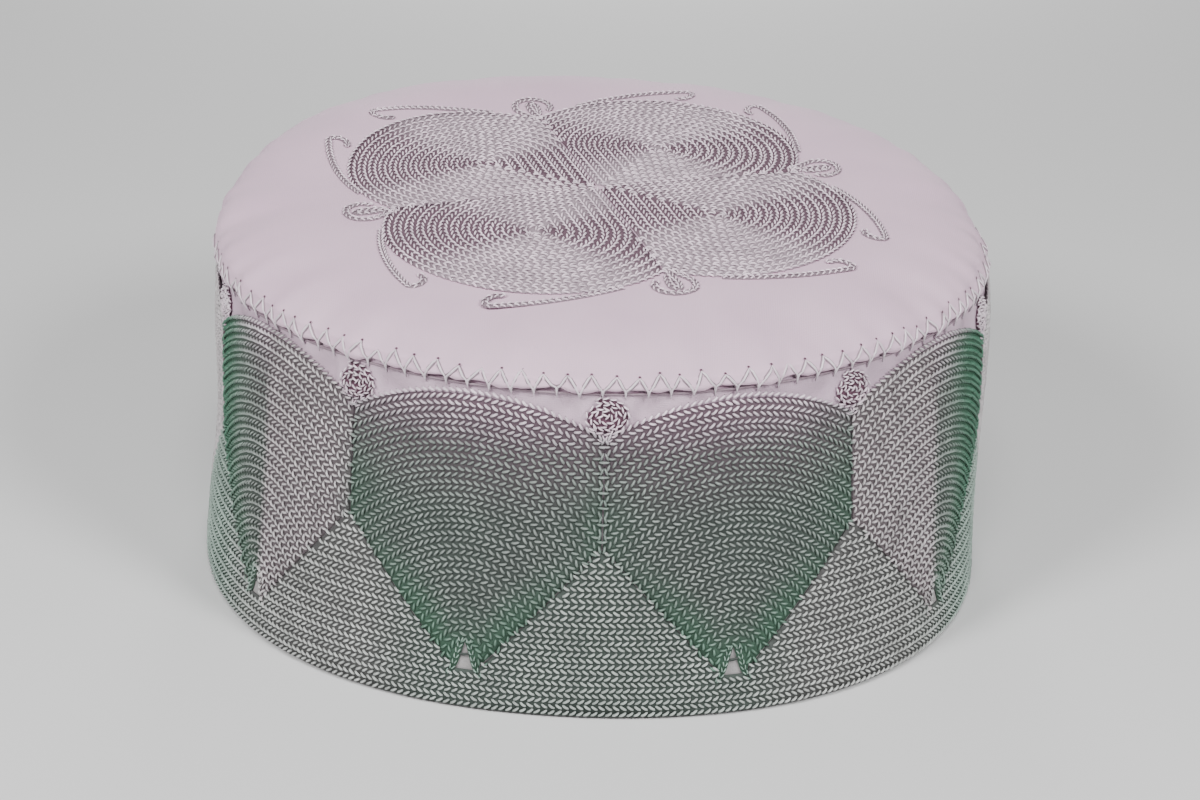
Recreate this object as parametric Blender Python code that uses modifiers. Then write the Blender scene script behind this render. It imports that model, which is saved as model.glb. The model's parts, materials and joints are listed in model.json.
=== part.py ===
"""Kufi: a round embroidered cap with a flat crown panel and an upright side band.

Metres, +Z up, front of the cap towards -Y, origin at the middle of the hem on the surface it rests on.
The crown is one shell of poplin whose turned edge sits on the band. The band is one wall of poplin
with its hem turned up inside. Ten embroidered fans, the embroidered ground below them, ten spiral
knots and a four-lobed rosette with four curls and eight tails are raised chain stitch on the cloth.
"""
from math import atan2, cos, exp, pi, radians, sin, sqrt

import bmesh
import bpy
from mathutils import Matrix, Vector

# The cap's main sizes
SEAM_RADIUS = 0.0885
HEM_RADIUS = 0.0948
SEAM_HEIGHT = 0.0747
CLOTH = 0.0020
HEM_FOLD_HEIGHT = 0.0080
HEM_FOLD = 0.0008
HEM_FOLD_ROLL = 0.0008
GAP = 0.0003
BAND_HEIGHTS = (SEAM_HEIGHT, 0.0670, 0.0590, 0.0500, 0.0380, 0.0240, HEM_FOLD_HEIGHT, 0.0)

# The crown panel: a nearly flat top that rolls over a soft shoulder and leans towards the front
CROWN_RISE = 0.0142
CROWN_BELLY = 0.0008
CROWN_DOME = 0.0018
SHOULDER_START = 0.0600
SHOULDER_FOOT = 0.0044
SHOULDER_FULLNESS = 2.3
CROWN_LEAN = 0.054
LEAN_SHARE = 0.7
CROWN_RINGS = (0.0, 0.0200, 0.0380, 0.0520, 0.0620, 0.0690)
SHOULDER_RINGS = 6

# The ridge that stands up along the back and left of the shoulder
BACK_RIDGE = 0.0021
BACK_START = 0.1
BACK_SPREAD = 0.6
LEFT_RIDGE = 0.0022
LEFT_MIDDLE = radians(-130.0)
LEFT_SPREAD = radians(60.0)
RIDGE_START = 0.0500
RIDGE_WIDTH = 0.0240

# The crown's turned edge: how far out of the crown's own edge, how far above the seam
TURNED_EDGE = (
    (0.0002, 0.0018),
    (0.0, 0.0008),
    (-0.0006, GAP),
)

# How far the soft cloth stands out of the round: a squarish hem, and a bulge and a waist at the sides
HEM_SQUARENESS = 0.0016
HEM_SKEW = 0.0006
SIDE_SHARPNESS = 5
# size of the give, its middle, its reach below and its reach above, as shares of the seam's height
RIGHT_BULGE = (0.0037, 0.86, 0.44, 0.30)
LEFT_WAIST = (-0.0017, 0.50, 0.28, 0.22)
BULGE_FADE = 0.14

# The embroidery on the band, laid out on the band unrolled at its middle radius
PAD = 0.0009
PAD_ROWS = (0.0, 0.30, 0.56, 0.79, 1.0)
FAN_COUNT = 10
FIRST_JOINT = radians(2.0)
SHEET_RADIUS = 0.0919
SHEET_HALF = pi / FAN_COUNT * SHEET_RADIUS
FAN_CENTRE = 0.0128
FAN_RADIUS = 0.0595
FAN_CORNER = 0.0400
FAN_FOOT_HALF = 0.0035
FAN_FOOT = 0.0105
FAN_COLUMNS = (0.0, FAN_FOOT_HALF, 0.0110, 0.0180, 0.0240, SHEET_HALF - 0.6 * GAP)
NOTCH_APEX = 0.0145
NOTCH_BASE = 0.0080
NOTCH_HALF = 0.0027
GROUND_FOOT = 0.0004
GROUND_COLUMNS = (NOTCH_HALF, FAN_FOOT_HALF, 0.0110, 0.0195)

# A spiral knot: radius and height of its profile, as shares of the knot's radius and of its top
KNOT_RADIUS = 0.0039
KNOT_TOP = 0.0015
KNOT_HEIGHT = 0.0693
KNOT_SIDES = 9
KNOT_PROFILE = ((0.0, 1.0), (0.36, 0.62), (0.62, 0.92), (0.85, 0.70), (1.0, 0.0), (0.0, 0.0))

# The rosette on the crown
LOBE_COUNT = 4
LOBE_AXIS = radians(63.0)
LOBE_CENTRE = 0.0305
LOBE_RADIUS = 0.0337
LOBE_HOLE = 0.0012
LOBE_COLUMNS = 8
CHAIN = 0.0011
CURL_CENTRE = 0.0558
CURL_RADIUS = 0.0046
CURL_START = radians(20.0)
CURL_TURN = radians(290.0)
CURL_STEPS = 11
TAIL_LIFT = 0.0026
TAIL_START = radians(62.0)
TAIL_END = radians(16.0)
TAIL_STEPS = 5
HOOK_RADIUS = 0.0016
HOOK_STEP = radians(55.0)
HOOK_STEPS = 3

ROUND_STEPS = 60
WELD = 0.00001
SHARP = radians(35.0)

# Linear colour and roughness of each slot
COLOURS = {
    "crown_poplin": ((0.60, 0.54, 0.58), 0.80),
    "band_poplin": ((0.52, 0.47, 0.50), 0.80),
    "fan_thread": ((0.30, 0.33, 0.31), 0.55),
    "ground_thread": ((0.36, 0.38, 0.37), 0.55),
    "knot_thread": ((0.56, 0.51, 0.54), 0.55),
    "rosette_thread": ((0.64, 0.59, 0.62), 0.55),
}


def clear_scene():
    for item in list(bpy.data.objects):
        bpy.data.objects.remove(item, do_unlink=True)


def new_collection(name):
    collection = bpy.data.collections.new(name)
    bpy.context.scene.collection.children.link(collection)
    return collection


def thread_or_cloth(slot, node):
    """One Principled material for each piece, from its slot's colour."""
    colour, roughness = COLOURS[slot]
    material = bpy.data.materials.new(node + "_" + slot)
    material.use_nodes = True
    shader = material.node_tree.nodes["Principled BSDF"]
    shader.inputs["Base Color"].default_value = (*colour, 1.0)
    shader.inputs["Roughness"].default_value = roughness
    shader.inputs["Metallic"].default_value = 0.0
    return material


def add_piece(collection, node, mesh, slot):
    piece = bpy.data.objects.new(node, mesh)
    collection.objects.link(piece)
    mesh.materials.clear()
    mesh.materials.append(thread_or_cloth(slot, node))
    mesh.shade_smooth()
    mesh.set_sharp_from_angle(angle=SHARP)
    return piece


def evaluated_mesh(piece):
    depsgraph = bpy.context.evaluated_depsgraph_get()
    return bpy.data.meshes.new_from_object(piece.evaluated_get(depsgraph))


def weld(mesh):
    """Join the points that lie on one another and turn every face outwards."""
    work = bmesh.new()
    work.from_mesh(mesh)
    bmesh.ops.remove_doubles(work, verts=work.verts, dist=WELD)
    bmesh.ops.recalc_face_normals(work, faces=work.faces)
    work.to_mesh(mesh)
    work.free()


def turned(profile, steps):
    """A profile of (radius, height) points, spun once round Z."""
    mesh = bpy.data.meshes.new("profile")
    mesh.from_pydata([(r, 0.0, z) for r, z in profile], [(i, i + 1) for i in range(len(profile) - 1)], [])
    spindle = bpy.data.objects.new("spindle", mesh)
    bpy.context.scene.collection.objects.link(spindle)
    screw = spindle.modifiers.new("turn", "SCREW")
    screw.axis = "Z"
    screw.steps = steps
    screw.render_steps = steps
    screw.use_merge_vertices = True
    screw.merge_threshold = WELD
    result = evaluated_mesh(spindle)
    bpy.data.objects.remove(spindle, do_unlink=True)
    return result


def ease(share):
    share = min(max(share, 0.0), 1.0)
    return share * share * (3.0 - 2.0 * share)


def bell(share, give_row):
    """The give at a share of the seam's height, from its size, its middle and its two reaches."""
    size, middle, below, above = give_row
    reach = below if share < middle else above
    return size * exp(-(((share - middle) / reach) ** 2))


def give(angle, height):
    """How far the cloth stands out of the round at an angle and a height."""
    share = height / SEAM_HEIGHT
    hem = HEM_SKEW * sin(2.0 * angle) - HEM_SQUARENESS * cos(4.0 * angle)
    right = max(sin(angle), 0.0) ** SIDE_SHARPNESS * bell(share, RIGHT_BULGE)
    left = max(-sin(angle), 0.0) ** SIDE_SHARPNESS * bell(share, LEFT_WAIST)
    return hem * max(1.0 - share, 0.0) + right * (1.0 - ease((share - 1.0) / BULGE_FADE)) + left


def on_band(angle, height, lift):
    """A point that stands lift outside the band's cloth. Angle 0 is the front, and it grows towards +X."""
    radius = HEM_RADIUS + (SEAM_RADIUS - HEM_RADIUS) * height / SEAM_HEIGHT
    radius += give(angle, height) + lift
    return Vector((radius * sin(angle), -radius * cos(angle), height))


def crown_lift(x, y, height):
    """The crown leans towards the front above its level seam, and its back shoulder stands up in a ridge."""
    above_seam = ease((height - SEAM_HEIGHT) / (CROWN_RISE * LEAN_SHARE))
    radius = sqrt(x * x + y * y)
    angle = atan2(x, -y)
    back = BACK_RIDGE * ease((BACK_START - cos(angle)) / BACK_SPREAD)
    left = LEFT_RIDGE * ease(1.0 - abs(angle - LEFT_MIDDLE) / LEFT_SPREAD)
    ridge = (back + left) * ease((radius - RIDGE_START) / RIDGE_WIDTH)
    return (CROWN_LEAN * y + ridge) * above_seam


def crown_top(radius):
    """Height of the crown's outer face above the surface, before the lean."""
    foot = SEAM_HEIGHT + SHOULDER_FOOT
    edge = SEAM_RADIUS + CROWN_BELLY
    over = max(radius - SHOULDER_START, 0.0) / (edge - SHOULDER_START)
    roll = max(1.0 - over ** SHOULDER_FULLNESS, 0.0) ** (1.0 / SHOULDER_FULLNESS)
    rise = CROWN_RISE - SHOULDER_FOOT - CROWN_DOME
    return foot + rise * roll + CROWN_DOME * (1.0 - (radius / edge) ** 2)


def on_crown(x, y, lift):
    """A point that stands lift above the crown's cloth."""
    height = crown_top(sqrt(x * x + y * y))
    return Vector((x, y, height + crown_lift(x, y, height) + lift))


def crown_profile():
    """Axis to edge: the top, the rolled shoulder, and the turned edge that sits on the band."""
    edge = SEAM_RADIUS + CROWN_BELLY
    points = [(r, crown_top(r)) for r in CROWN_RINGS]
    for step in range(1, SHOULDER_RINGS + 1):
        r = CROWN_RINGS[-1] + (edge - CROWN_RINGS[-1]) * sin(step / SHOULDER_RINGS * pi / 2.0)
        points.append((r, crown_top(r)))
    points += [(edge + out, SEAM_HEIGHT + above) for out, above in TURNED_EDGE]
    return points


def crown_panel(collection):
    mesh = turned(crown_profile(), ROUND_STEPS)
    for vertex in mesh.vertices:
        x, y, z = vertex.co
        radius = sqrt(x * x + y * y)
        out = give(atan2(x, -y), z) * min(radius / SEAM_RADIUS, 1.0) / max(radius, WELD)
        vertex.co = (x + x * out, y + y * out, z + crown_lift(x, y, z))
    piece = add_piece(collection, "crown_panel", mesh, "crown_poplin")
    wall = piece.modifiers.new("cloth", "SOLIDIFY")
    wall.thickness = CLOTH
    wall.offset = -1.0
    return piece


def side_band(collection):
    """A closed wall with a flat foot, thicker where the hem is turned up inside."""
    slope = (SEAM_RADIUS - HEM_RADIUS) / SEAM_HEIGHT
    outer = [(HEM_RADIUS + slope * z, z) for z in BAND_HEIGHTS]
    inner = [(HEM_RADIUS + slope * z - CLOTH, z) for z in BAND_HEIGHTS[:-1]]
    fold_heights = (HEM_FOLD_HEIGHT - HEM_FOLD_ROLL, 0.0)
    fold = [(HEM_RADIUS + slope * z - CLOTH - HEM_FOLD, z) for z in fold_heights]
    loop = outer + list(reversed(inner + fold)) + [outer[0]]
    mesh = turned(loop, ROUND_STEPS)
    for vertex in mesh.vertices:
        x, y, z = vertex.co
        out = give(atan2(x, -y), z) / sqrt(x * x + y * y)
        vertex.co = (x + x * out, y + y * out, z)
    weld(mesh)
    return add_piece(collection, "side_band", mesh, "band_poplin")


def sheet(columns, shares, place, closed=False):
    """A grid of columns, each point put in place by its column and its share of the way up it."""
    work = bmesh.new()
    grid = [[work.verts.new(place(column, share)) for share in shares] for column in columns]
    pairs = list(zip(grid, grid[1:]))
    if closed:
        pairs.append((grid[-1], grid[0]))
    for left, right in pairs:
        for row in range(len(shares) - 1):
            work.faces.new((left[row], right[row], right[row + 1], left[row + 1]))
    mesh = bpy.data.meshes.new("sheet")
    work.to_mesh(mesh)
    work.free()
    return mesh


def raise_pad(piece):
    """Thicken a sheet that lies on the cloth into a pad of stitches."""
    pad = piece.modifiers.new("stitches", "SOLIDIFY")
    pad.thickness = PAD
    pad.offset = 1.0


def fan_angle(number):
    """Angle of a fan's middle line."""
    return FIRST_JOINT + (number + 0.5) * 2.0 * pi / FAN_COUNT


def fan_lower_edge(across):
    """Height of a fan's lower edge on the unrolled band, at a distance across from its middle."""
    across = abs(across)
    if across <= FAN_FOOT_HALF:
        return NOTCH_APEX + (FAN_FOOT - NOTCH_APEX) * across / FAN_FOOT_HALF
    share = (across - FAN_FOOT_HALF) / (SHEET_HALF - FAN_FOOT_HALF)
    return FAN_FOOT + (FAN_CORNER - FAN_FOOT) * share


def fan_upper_edge(across):
    return FAN_CENTRE + sqrt(FAN_RADIUS ** 2 - across ** 2)


def embroidered_fan(collection, number):
    middle = fan_angle(number)
    columns = [-across for across in reversed(FAN_COLUMNS[1:])] + list(FAN_COLUMNS)

    def place(across, share):
        low = fan_lower_edge(across) + GAP
        high = fan_upper_edge(across)
        return on_band(middle + across / SHEET_RADIUS, low + (high - low) * share, GAP)

    piece = add_piece(collection, f"fan_{number + 1:02d}", sheet(columns, PAD_ROWS, place), "fan_thread")
    raise_pad(piece)
    return piece


def embroidered_ground(collection):
    """One ring of stitch rows: a margin along the hem and a tooth up between each two fans."""
    steps = [-SHEET_HALF] + [-across for across in reversed(GROUND_COLUMNS)] + list(GROUND_COLUMNS)
    columns = [(number, across) for number in range(FAN_COUNT) for across in steps]

    def place(column, share):
        number, across = column
        high = NOTCH_BASE if abs(across) <= NOTCH_HALF else fan_lower_edge(across) - GAP
        height = GROUND_FOOT + (high - GROUND_FOOT) * share
        return on_band(fan_angle(number) + across / SHEET_RADIUS, height, GAP)

    mesh = sheet(columns, PAD_ROWS[::2], place, closed=True)
    piece = add_piece(collection, "embroidered_ground", mesh, "ground_thread")
    raise_pad(piece)
    return piece


def spiral_knot(collection, number):
    """A turned button whose ridges lie as the spiral of chain stitch does, set square on the band."""
    angle = FIRST_JOINT + number * 2.0 * pi / FAN_COUNT
    seat = on_band(angle, KNOT_HEIGHT, 1.4 * GAP)
    above = on_band(angle, KNOT_HEIGHT + KNOT_RADIUS, 1.4 * GAP)
    upward = (above - seat).normalized()
    across = Vector((cos(angle), sin(angle), 0.0))
    outward = across.cross(upward)
    profile = [(r * KNOT_RADIUS, z * KNOT_TOP) for r, z in KNOT_PROFILE]
    piece = add_piece(collection, f"spiral_knot_{number + 1:02d}", turned(profile, KNOT_SIDES), "knot_thread")
    piece.matrix_world = Matrix.Translation(seat) @ Matrix((across, upward, outward)).transposed().to_4x4()
    return piece


def rosette_lobe(collection, number):
    """A round petal cut by the two diagonals that it shares with its neighbours."""
    axis = LOBE_AXIS + number * 2.0 * pi / LOBE_COUNT
    shift = 0.8 * GAP

    def place(turn, share):
        side = LOBE_CENTRE * sin(turn)
        far = LOBE_CENTRE * cos(turn) + sqrt(LOBE_RADIUS ** 2 - side ** 2)
        radius = LOBE_HOLE + (far - LOBE_HOLE) * share
        angle = axis + turn
        x = radius * cos(angle) + shift * cos(axis)
        y = radius * sin(angle) + shift * sin(axis)
        return on_crown(x, y, GAP)

    half = pi / LOBE_COUNT
    columns = [half * (1.0 - 2.0 * step / LOBE_COLUMNS) for step in range(LOBE_COLUMNS + 1)]
    mesh = sheet(columns, PAD_ROWS, place)
    piece = add_piece(collection, f"rosette_lobe_{number + 1:02d}", mesh, "rosette_thread")
    raise_pad(piece)
    return piece


def chain_line(collection, node, route):
    """One row of chain stitch that lies on the crown along a route of flat points."""
    curve = bpy.data.curves.new(node, "CURVE")
    curve.dimensions = "3D"
    curve.bevel_depth = CHAIN / 2.0
    curve.bevel_resolution = 0
    curve.use_fill_caps = True
    line = curve.splines.new("POLY")
    line.points.add(len(route) - 1)
    for point, spot in zip(line.points, route):
        point.co = (*on_crown(spot.x, spot.y, GAP + CHAIN / 2.0), 1.0)
    guide = bpy.data.objects.new(node, curve)
    bpy.context.scene.collection.objects.link(guide)
    mesh = evaluated_mesh(guide)
    bpy.data.objects.remove(guide, do_unlink=True)
    weld(mesh)
    return add_piece(collection, node, mesh, "rosette_thread")


def rosette_curl(collection, number):
    """An open ring of chain stitch just outside the notch between two lobes."""
    diagonal = LOBE_AXIS + (number + 0.5) * 2.0 * pi / LOBE_COUNT
    out = Vector((cos(diagonal), sin(diagonal)))
    side = Vector((-out.y, out.x))
    turns = [CURL_START + CURL_TURN * step / CURL_STEPS for step in range(CURL_STEPS + 1)]
    route = [out * CURL_CENTRE + (side * sin(turn) - out * cos(turn)) * CURL_RADIUS for turn in turns]
    return chain_line(collection, f"rosette_curl_{number + 1:02d}", route)


def rosette_tail(collection, number, hand):
    """The lobe's outermost row, which lifts off its edge and ends in a small hook near the tip."""
    axis = LOBE_AXIS + number * 2.0 * pi / LOBE_COUNT
    centre = Vector((cos(axis), sin(axis))) * LOBE_CENTRE
    route = []
    for step in range(TAIL_STEPS + 1):
        share = step / TAIL_STEPS
        turn = axis + hand * (TAIL_START + (TAIL_END - TAIL_START) * share)
        reach = LOBE_RADIUS + CHAIN + TAIL_LIFT * share * share
        route.append(centre + Vector((cos(turn), sin(turn))) * reach)
    end = route[-1]
    onward = (route[-1] - route[-2]).normalized()
    inward = (centre - end).normalized()
    for step in range(1, HOOK_STEPS + 1):
        turn = HOOK_STEP * step
        route.append(end + (onward * sin(turn) + inward * (1.0 - cos(turn))) * HOOK_RADIUS)
    side = "left" if hand > 0 else "right"
    return chain_line(collection, f"rosette_tail_{number + 1:02d}_{side}", route)


def main():
    clear_scene()
    kufi = new_collection("kufi")
    crown_panel(kufi)
    side_band(kufi)
    embroidered_ground(kufi)
    for number in range(FAN_COUNT):
        embroidered_fan(kufi, number)
        spiral_knot(kufi, number)
    for number in range(LOBE_COUNT):
        rosette_lobe(kufi, number)
        rosette_curl(kufi, number)
        rosette_tail(kufi, number, 1.0)
        rosette_tail(kufi, number, -1.0)


main()
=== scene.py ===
# %% [markdown]
# # A kufi sewn all over with chain stitch
# A kufi is a soft round cap. This one is two pieces of light cotton poplin: a round crown panel and an
# upright side band. A chain-stitch machine has covered the band with ten fans on a ground of level rows,
# put a small spiral knot above each joint, and drawn a four-lobed rosette on the crown.
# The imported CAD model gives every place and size. This script dresses it: cloth first, then the stitches.

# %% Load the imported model
import json

import bmesh
import bpy
import numpy as np
from mathutils import Matrix, Vector

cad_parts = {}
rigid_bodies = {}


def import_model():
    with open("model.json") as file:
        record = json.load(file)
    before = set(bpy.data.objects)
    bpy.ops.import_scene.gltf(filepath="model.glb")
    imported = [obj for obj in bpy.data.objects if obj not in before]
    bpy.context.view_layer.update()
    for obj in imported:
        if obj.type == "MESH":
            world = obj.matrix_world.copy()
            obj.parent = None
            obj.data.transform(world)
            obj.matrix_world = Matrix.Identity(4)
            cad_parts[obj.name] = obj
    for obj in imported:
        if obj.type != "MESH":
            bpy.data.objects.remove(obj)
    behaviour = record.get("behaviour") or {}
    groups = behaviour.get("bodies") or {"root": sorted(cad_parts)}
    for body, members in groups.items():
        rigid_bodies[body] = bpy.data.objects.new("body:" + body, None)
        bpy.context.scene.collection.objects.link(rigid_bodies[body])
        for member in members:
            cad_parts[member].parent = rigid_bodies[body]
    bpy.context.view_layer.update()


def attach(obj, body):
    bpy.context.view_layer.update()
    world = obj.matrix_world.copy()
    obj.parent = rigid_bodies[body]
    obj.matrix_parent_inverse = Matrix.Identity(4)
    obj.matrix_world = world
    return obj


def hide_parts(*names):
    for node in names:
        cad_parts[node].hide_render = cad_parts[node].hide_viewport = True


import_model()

# %% [markdown]
# ## The surfaces that everything lies on
# The band is a slightly flared wall and the crown is a nearly flat top with a soft shoulder. Both are given
# by the same few sizes as the CAD solids, as functions that take whole arrays, so that a stitch can be put
# exactly on the cloth anywhere. The band is laid out flat: `across` runs round it and `height` up it.

# %% Main sizes, in metres
SEAM_RADIUS = 0.0885
HEM_RADIUS = 0.0948
SEAM_HEIGHT = 0.0747
CLOTH = 0.0020
CROWN_RISE = 0.0142
CROWN_EDGE = SEAM_RADIUS + 0.0008
CROWN_DOME = 0.0018
SHOULDER_START = 0.0600
SHOULDER_FOOT = 0.0044
SHOULDER_FULLNESS = 2.3
FAN_COUNT = 10
FIRST_JOINT = np.radians(2.0)
SHEET_RADIUS = 0.0919
SHEET_HALF = np.pi / FAN_COUNT * SHEET_RADIUS
ROUND = 2.0 * np.pi * SHEET_RADIUS
print("Round the band at its middle, mm:", round(1000 * ROUND, 1))

# %% The band as a surface
def ease(share):
    """A step from 0 to 1 with soft ends."""
    share = np.clip(share, 0.0, 1.0)
    return share * share * (3.0 - 2.0 * share)


def hump(offset, width):
    """1 in the middle, falling softly to 0 on both sides."""
    return np.exp(-((offset / width) ** 2))


def bell(share, size, middle, below, above):
    """A hump that is wider on one side than on the other."""
    return size * hump(share - middle, np.where(share < middle, below, above))


def give(angle, height):
    """How far the soft cloth stands out of the round."""
    share = height / SEAM_HEIGHT
    hem = 0.0006 * np.sin(2.0 * angle) - 0.0016 * np.cos(4.0 * angle)
    right = np.maximum(np.sin(angle), 0.0) ** 5 * bell(share, 0.0037, 0.86, 0.44, 0.30)
    left = np.maximum(-np.sin(angle), 0.0) ** 5 * bell(share, -0.0017, 0.50, 0.28, 0.22)
    return hem * np.maximum(1.0 - share, 0.0) + right * (1.0 - ease((share - 1.0) / 0.14)) + left


def band_skin(across, height):
    angle = across / SHEET_RADIUS
    radius = HEM_RADIUS + (SEAM_RADIUS - HEM_RADIUS) * height / SEAM_HEIGHT + give(angle, height)
    return np.stack(np.broadcast_arrays(radius * np.sin(angle), -radius * np.cos(angle), height), -1)


print("The hem's front, mm from the axis:", round(-1000 * float(band_skin(0.0, 0.0)[1]), 1))


# %% The crown as a surface
def crown_lift(x, y, height):
    """The crown leans towards the front, and its back shoulder stands up in a soft ridge."""
    radius, angle = np.hypot(x, y), np.arctan2(x, -y)
    back = 0.0021 * ease((0.1 - np.cos(angle)) / 0.6)
    left = 0.0022 * ease(1.0 - np.abs(angle + np.radians(130.0)) / np.radians(60.0))
    ridge = (back + left) * ease((radius - 0.0500) / 0.0240)
    return (0.054 * y + ridge) * ease((height - SEAM_HEIGHT) / (CROWN_RISE * 0.7))


def crown_top(radius):
    over = np.maximum(radius - SHOULDER_START, 0.0) / (CROWN_EDGE - SHOULDER_START)
    roll = np.maximum(1.0 - over ** SHOULDER_FULLNESS, 0.0) ** (1.0 / SHOULDER_FULLNESS)
    rise = CROWN_RISE - SHOULDER_FOOT - CROWN_DOME
    return SEAM_HEIGHT + SHOULDER_FOOT + rise * roll + CROWN_DOME * (1.0 - (radius / CROWN_EDGE) ** 2)


def crown_skin(x, y):
    height = crown_top(np.hypot(x, y))
    return np.stack(np.broadcast_arrays(x, y, height + crown_lift(x, y, height)), -1)


def crown_turned(angle, radius, height):
    """A point of the crown's turned profile, pushed out and lifted as the cloth is."""
    lift = crown_lift(radius * np.sin(angle), -radius * np.cos(angle), height)
    out = radius + give(angle, height) * np.minimum(radius / SEAM_RADIUS, 1.0)
    return np.stack(np.broadcast_arrays(out * np.sin(angle), -out * np.cos(angle), height + lift), -1)


print("The crown's top above the floor, mm:", round(1000 * float(crown_skin(0.0, 0.0)[2]), 1))


# %% Lengths and directions on a surface
def unit(vectors):
    return vectors / np.linalg.norm(vectors, axis=-1, keepdims=True)


def walked(line):
    """Distance along a line at each of its points."""
    return np.concatenate(([0.0], np.cumsum(np.linalg.norm(np.diff(line, axis=0), axis=1))))


def with_normal(skin, u, v, step=0.0002):
    """Points of a skin and the directions that stand square on it, outwards."""
    along = skin(u + step, v) - skin(u - step, v)
    upward = skin(u, v + step) - skin(u, v - step)
    return skin(u, v), unit(np.cross(along, upward))


def unrolled(points):
    """Where points of the band lie on the flat layout: across and height."""
    return np.arctan2(points[:, 0], -points[:, 1]) * SHEET_RADIUS, points[:, 2]


print("Direction out of the crown's middle:", with_normal(crown_skin, 0.0, 0.0)[1].round(2).tolist())

# %% [markdown]
# ## Small helpers
# A piece is finished when its mesh is in place with its material, it rides on the cap's one body and the CAD
# solids that it stands for are hidden. Colours are written as sRGB hex and turned to linear by one function.

# %% Colours, nodes and materials
def linear(hex_colour):
    parts = [int(hex_colour[i:i + 2], 16) / 255.0 for i in (0, 2, 4)]
    return tuple(p / 12.92 if p <= 0.04045 else ((p + 0.055) / 1.055) ** 2.4 for p in parts) + (1.0,)


def feed(tree, node, values):
    """Sets a node's inputs. A socket given as a value is linked, and a node by its first output."""
    for name, value in values.items():
        if isinstance(value, bpy.types.Node):
            value = next(socket for socket in value.outputs if socket.enabled)
        if isinstance(value, bpy.types.NodeSocket):
            tree.links.new(value, node.inputs[name])
        else:
            node.inputs[name].default_value = value


def add(tree, kind, values=None, **settings):
    """Adds a node with its settings and links."""
    node = tree.nodes.new(kind)
    for name, value in settings.items():
        setattr(node, name, value)
    feed(tree, node, values or {})
    return node


def new_material(name):
    """A material, its tree and its shader."""
    material = bpy.data.materials.new(name)
    material.use_nodes = True
    return material, material.node_tree, material.node_tree.nodes["Principled BSDF"]


print("The crown's lilac as linear colour:", [round(part, 3) for part in linear("ddbdd1")[:3]])


# %% Meshes and finished pieces
def finished(name, mesh, nodes):
    """Makes a mesh, which has its materials, a piece of the cap."""
    piece = bpy.data.objects.new(name, mesh)
    bpy.context.scene.collection.objects.link(piece)
    mesh.shade_smooth()
    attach(piece, "root")
    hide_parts(*nodes)
    return piece


def grid_mesh(name, points, uv, wrap_rows=False, wrap_columns=False):
    """Quads over rows and columns of points, with a UV map in metres of cloth."""
    rows, columns = points.shape[:2]
    row, column = np.meshgrid(
        np.arange(rows if wrap_rows else rows - 1),
        np.arange(columns if wrap_columns else columns - 1),
        indexing="ij",
    )
    row, column = row.ravel(), column.ravel()
    corners = [(row, column), (row, column + 1), (row + 1, column + 1), (row + 1, column)]
    index = np.stack([(r % rows) * columns + c % columns for r, c in corners], -1)
    mesh = bpy.data.meshes.new(name)
    mesh.from_pydata(points.reshape(-1, 3).tolist(), [], index.tolist())
    layer = mesh.uv_layers.new(name="cloth")
    flat = np.stack([uv[r, c] for r, c in corners], 1)
    layer.data.foreach_set("uv", flat.astype(np.float32).ravel())
    return mesh


def edited(mesh, *steps):
    """Runs bmesh steps on a mesh."""
    work = bmesh.new()
    work.from_mesh(mesh)
    for step in steps:
        step(work)
    work.to_mesh(mesh)
    work.free()
    return mesh


def turn_outwards(work):
    bmesh.ops.recalc_face_normals(work, faces=work.faces)


# %% [markdown]
# ## Cotton poplin
# Poplin is a plain weave of fine yarns, here about 0.25 mm apart. At arm's length it gives the eye a matt
# and nearly even lilac white, with a faint crossing of yarns where light grazes it. The yarns are drawn
# 0.5 mm apart, twice as coarse as they are, because the true ones would be finer than a pixel.
# Two waves of bump, one each way on the cloth's own UV map, make the crossing, and slow noise the tone.

# %% Poplin material
YARN = 0.0005


def poplin(name, light, shaded, low, relief):
    """Matt cotton: a clouded tone, another colour low on the band, and crossing yarns as bump."""
    material, tree, shader = new_material(name)
    place = add(tree, "ShaderNodeTexCoord").outputs["Object"]
    height = add(tree, "ShaderNodeSeparateXYZ", {"Vector": place}).outputs["Z"]
    cloud = add(tree, "ShaderNodeTexNoise", {"Vector": place, "Scale": 45.0, "Detail": 3.0})
    cloud = add(tree, "ShaderNodeMapRange", {"Value": cloud, "From Min": 0.35, "From Max": 0.65})
    tones = {"Factor": cloud, "A": linear(shaded), "B": linear(light)}
    colour = add(tree, "ShaderNodeMix", tones, data_type="RGBA")
    fall = add(tree, "ShaderNodeMapRange", {"Value": height, "From Min": 0.066, "From Max": 0.030})
    colour = add(tree, "ShaderNodeMix", {"Factor": fall, "A": colour, "B": linear(low)}, data_type="RGBA")
    uv = add(tree, "ShaderNodeUVMap", uv_map="cloth")
    wave = {"Vector": uv, "Scale": 0.314 / YARN, "Distortion": 0.6}
    yarns = [add(tree, "ShaderNodeTexWave", wave, bands_direction=way).outputs["Fac"] for way in "XY"]
    weave = add(tree, "ShaderNodeMath", dict(enumerate(yarns)), operation="MULTIPLY")
    bump = add(tree, "ShaderNodeBump", {"Strength": relief, "Distance": 0.0001, "Height": weave})
    feed(tree, shader, {"Base Color": colour, "Normal": bump, "Roughness": 0.82, "IOR": 1.48})
    feed(tree, shader, {"Sheen Weight": 0.15, "Sheen Roughness": 0.5})
    return material


crown_cloth = poplin("lilac cotton poplin of the crown", "ddbdd1", "d7b7cc", "cdb7c6", 0.35)
# The band's cloth is drawn darker and greyer low down, which is partly painted shade.
band_cloth = poplin("lilac cotton poplin of the band", "cdb4c5", "c4abbd", "9d9a9a", 0.35)
print("Materials:", crown_cloth.name, "and", band_cloth.name)

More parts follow.
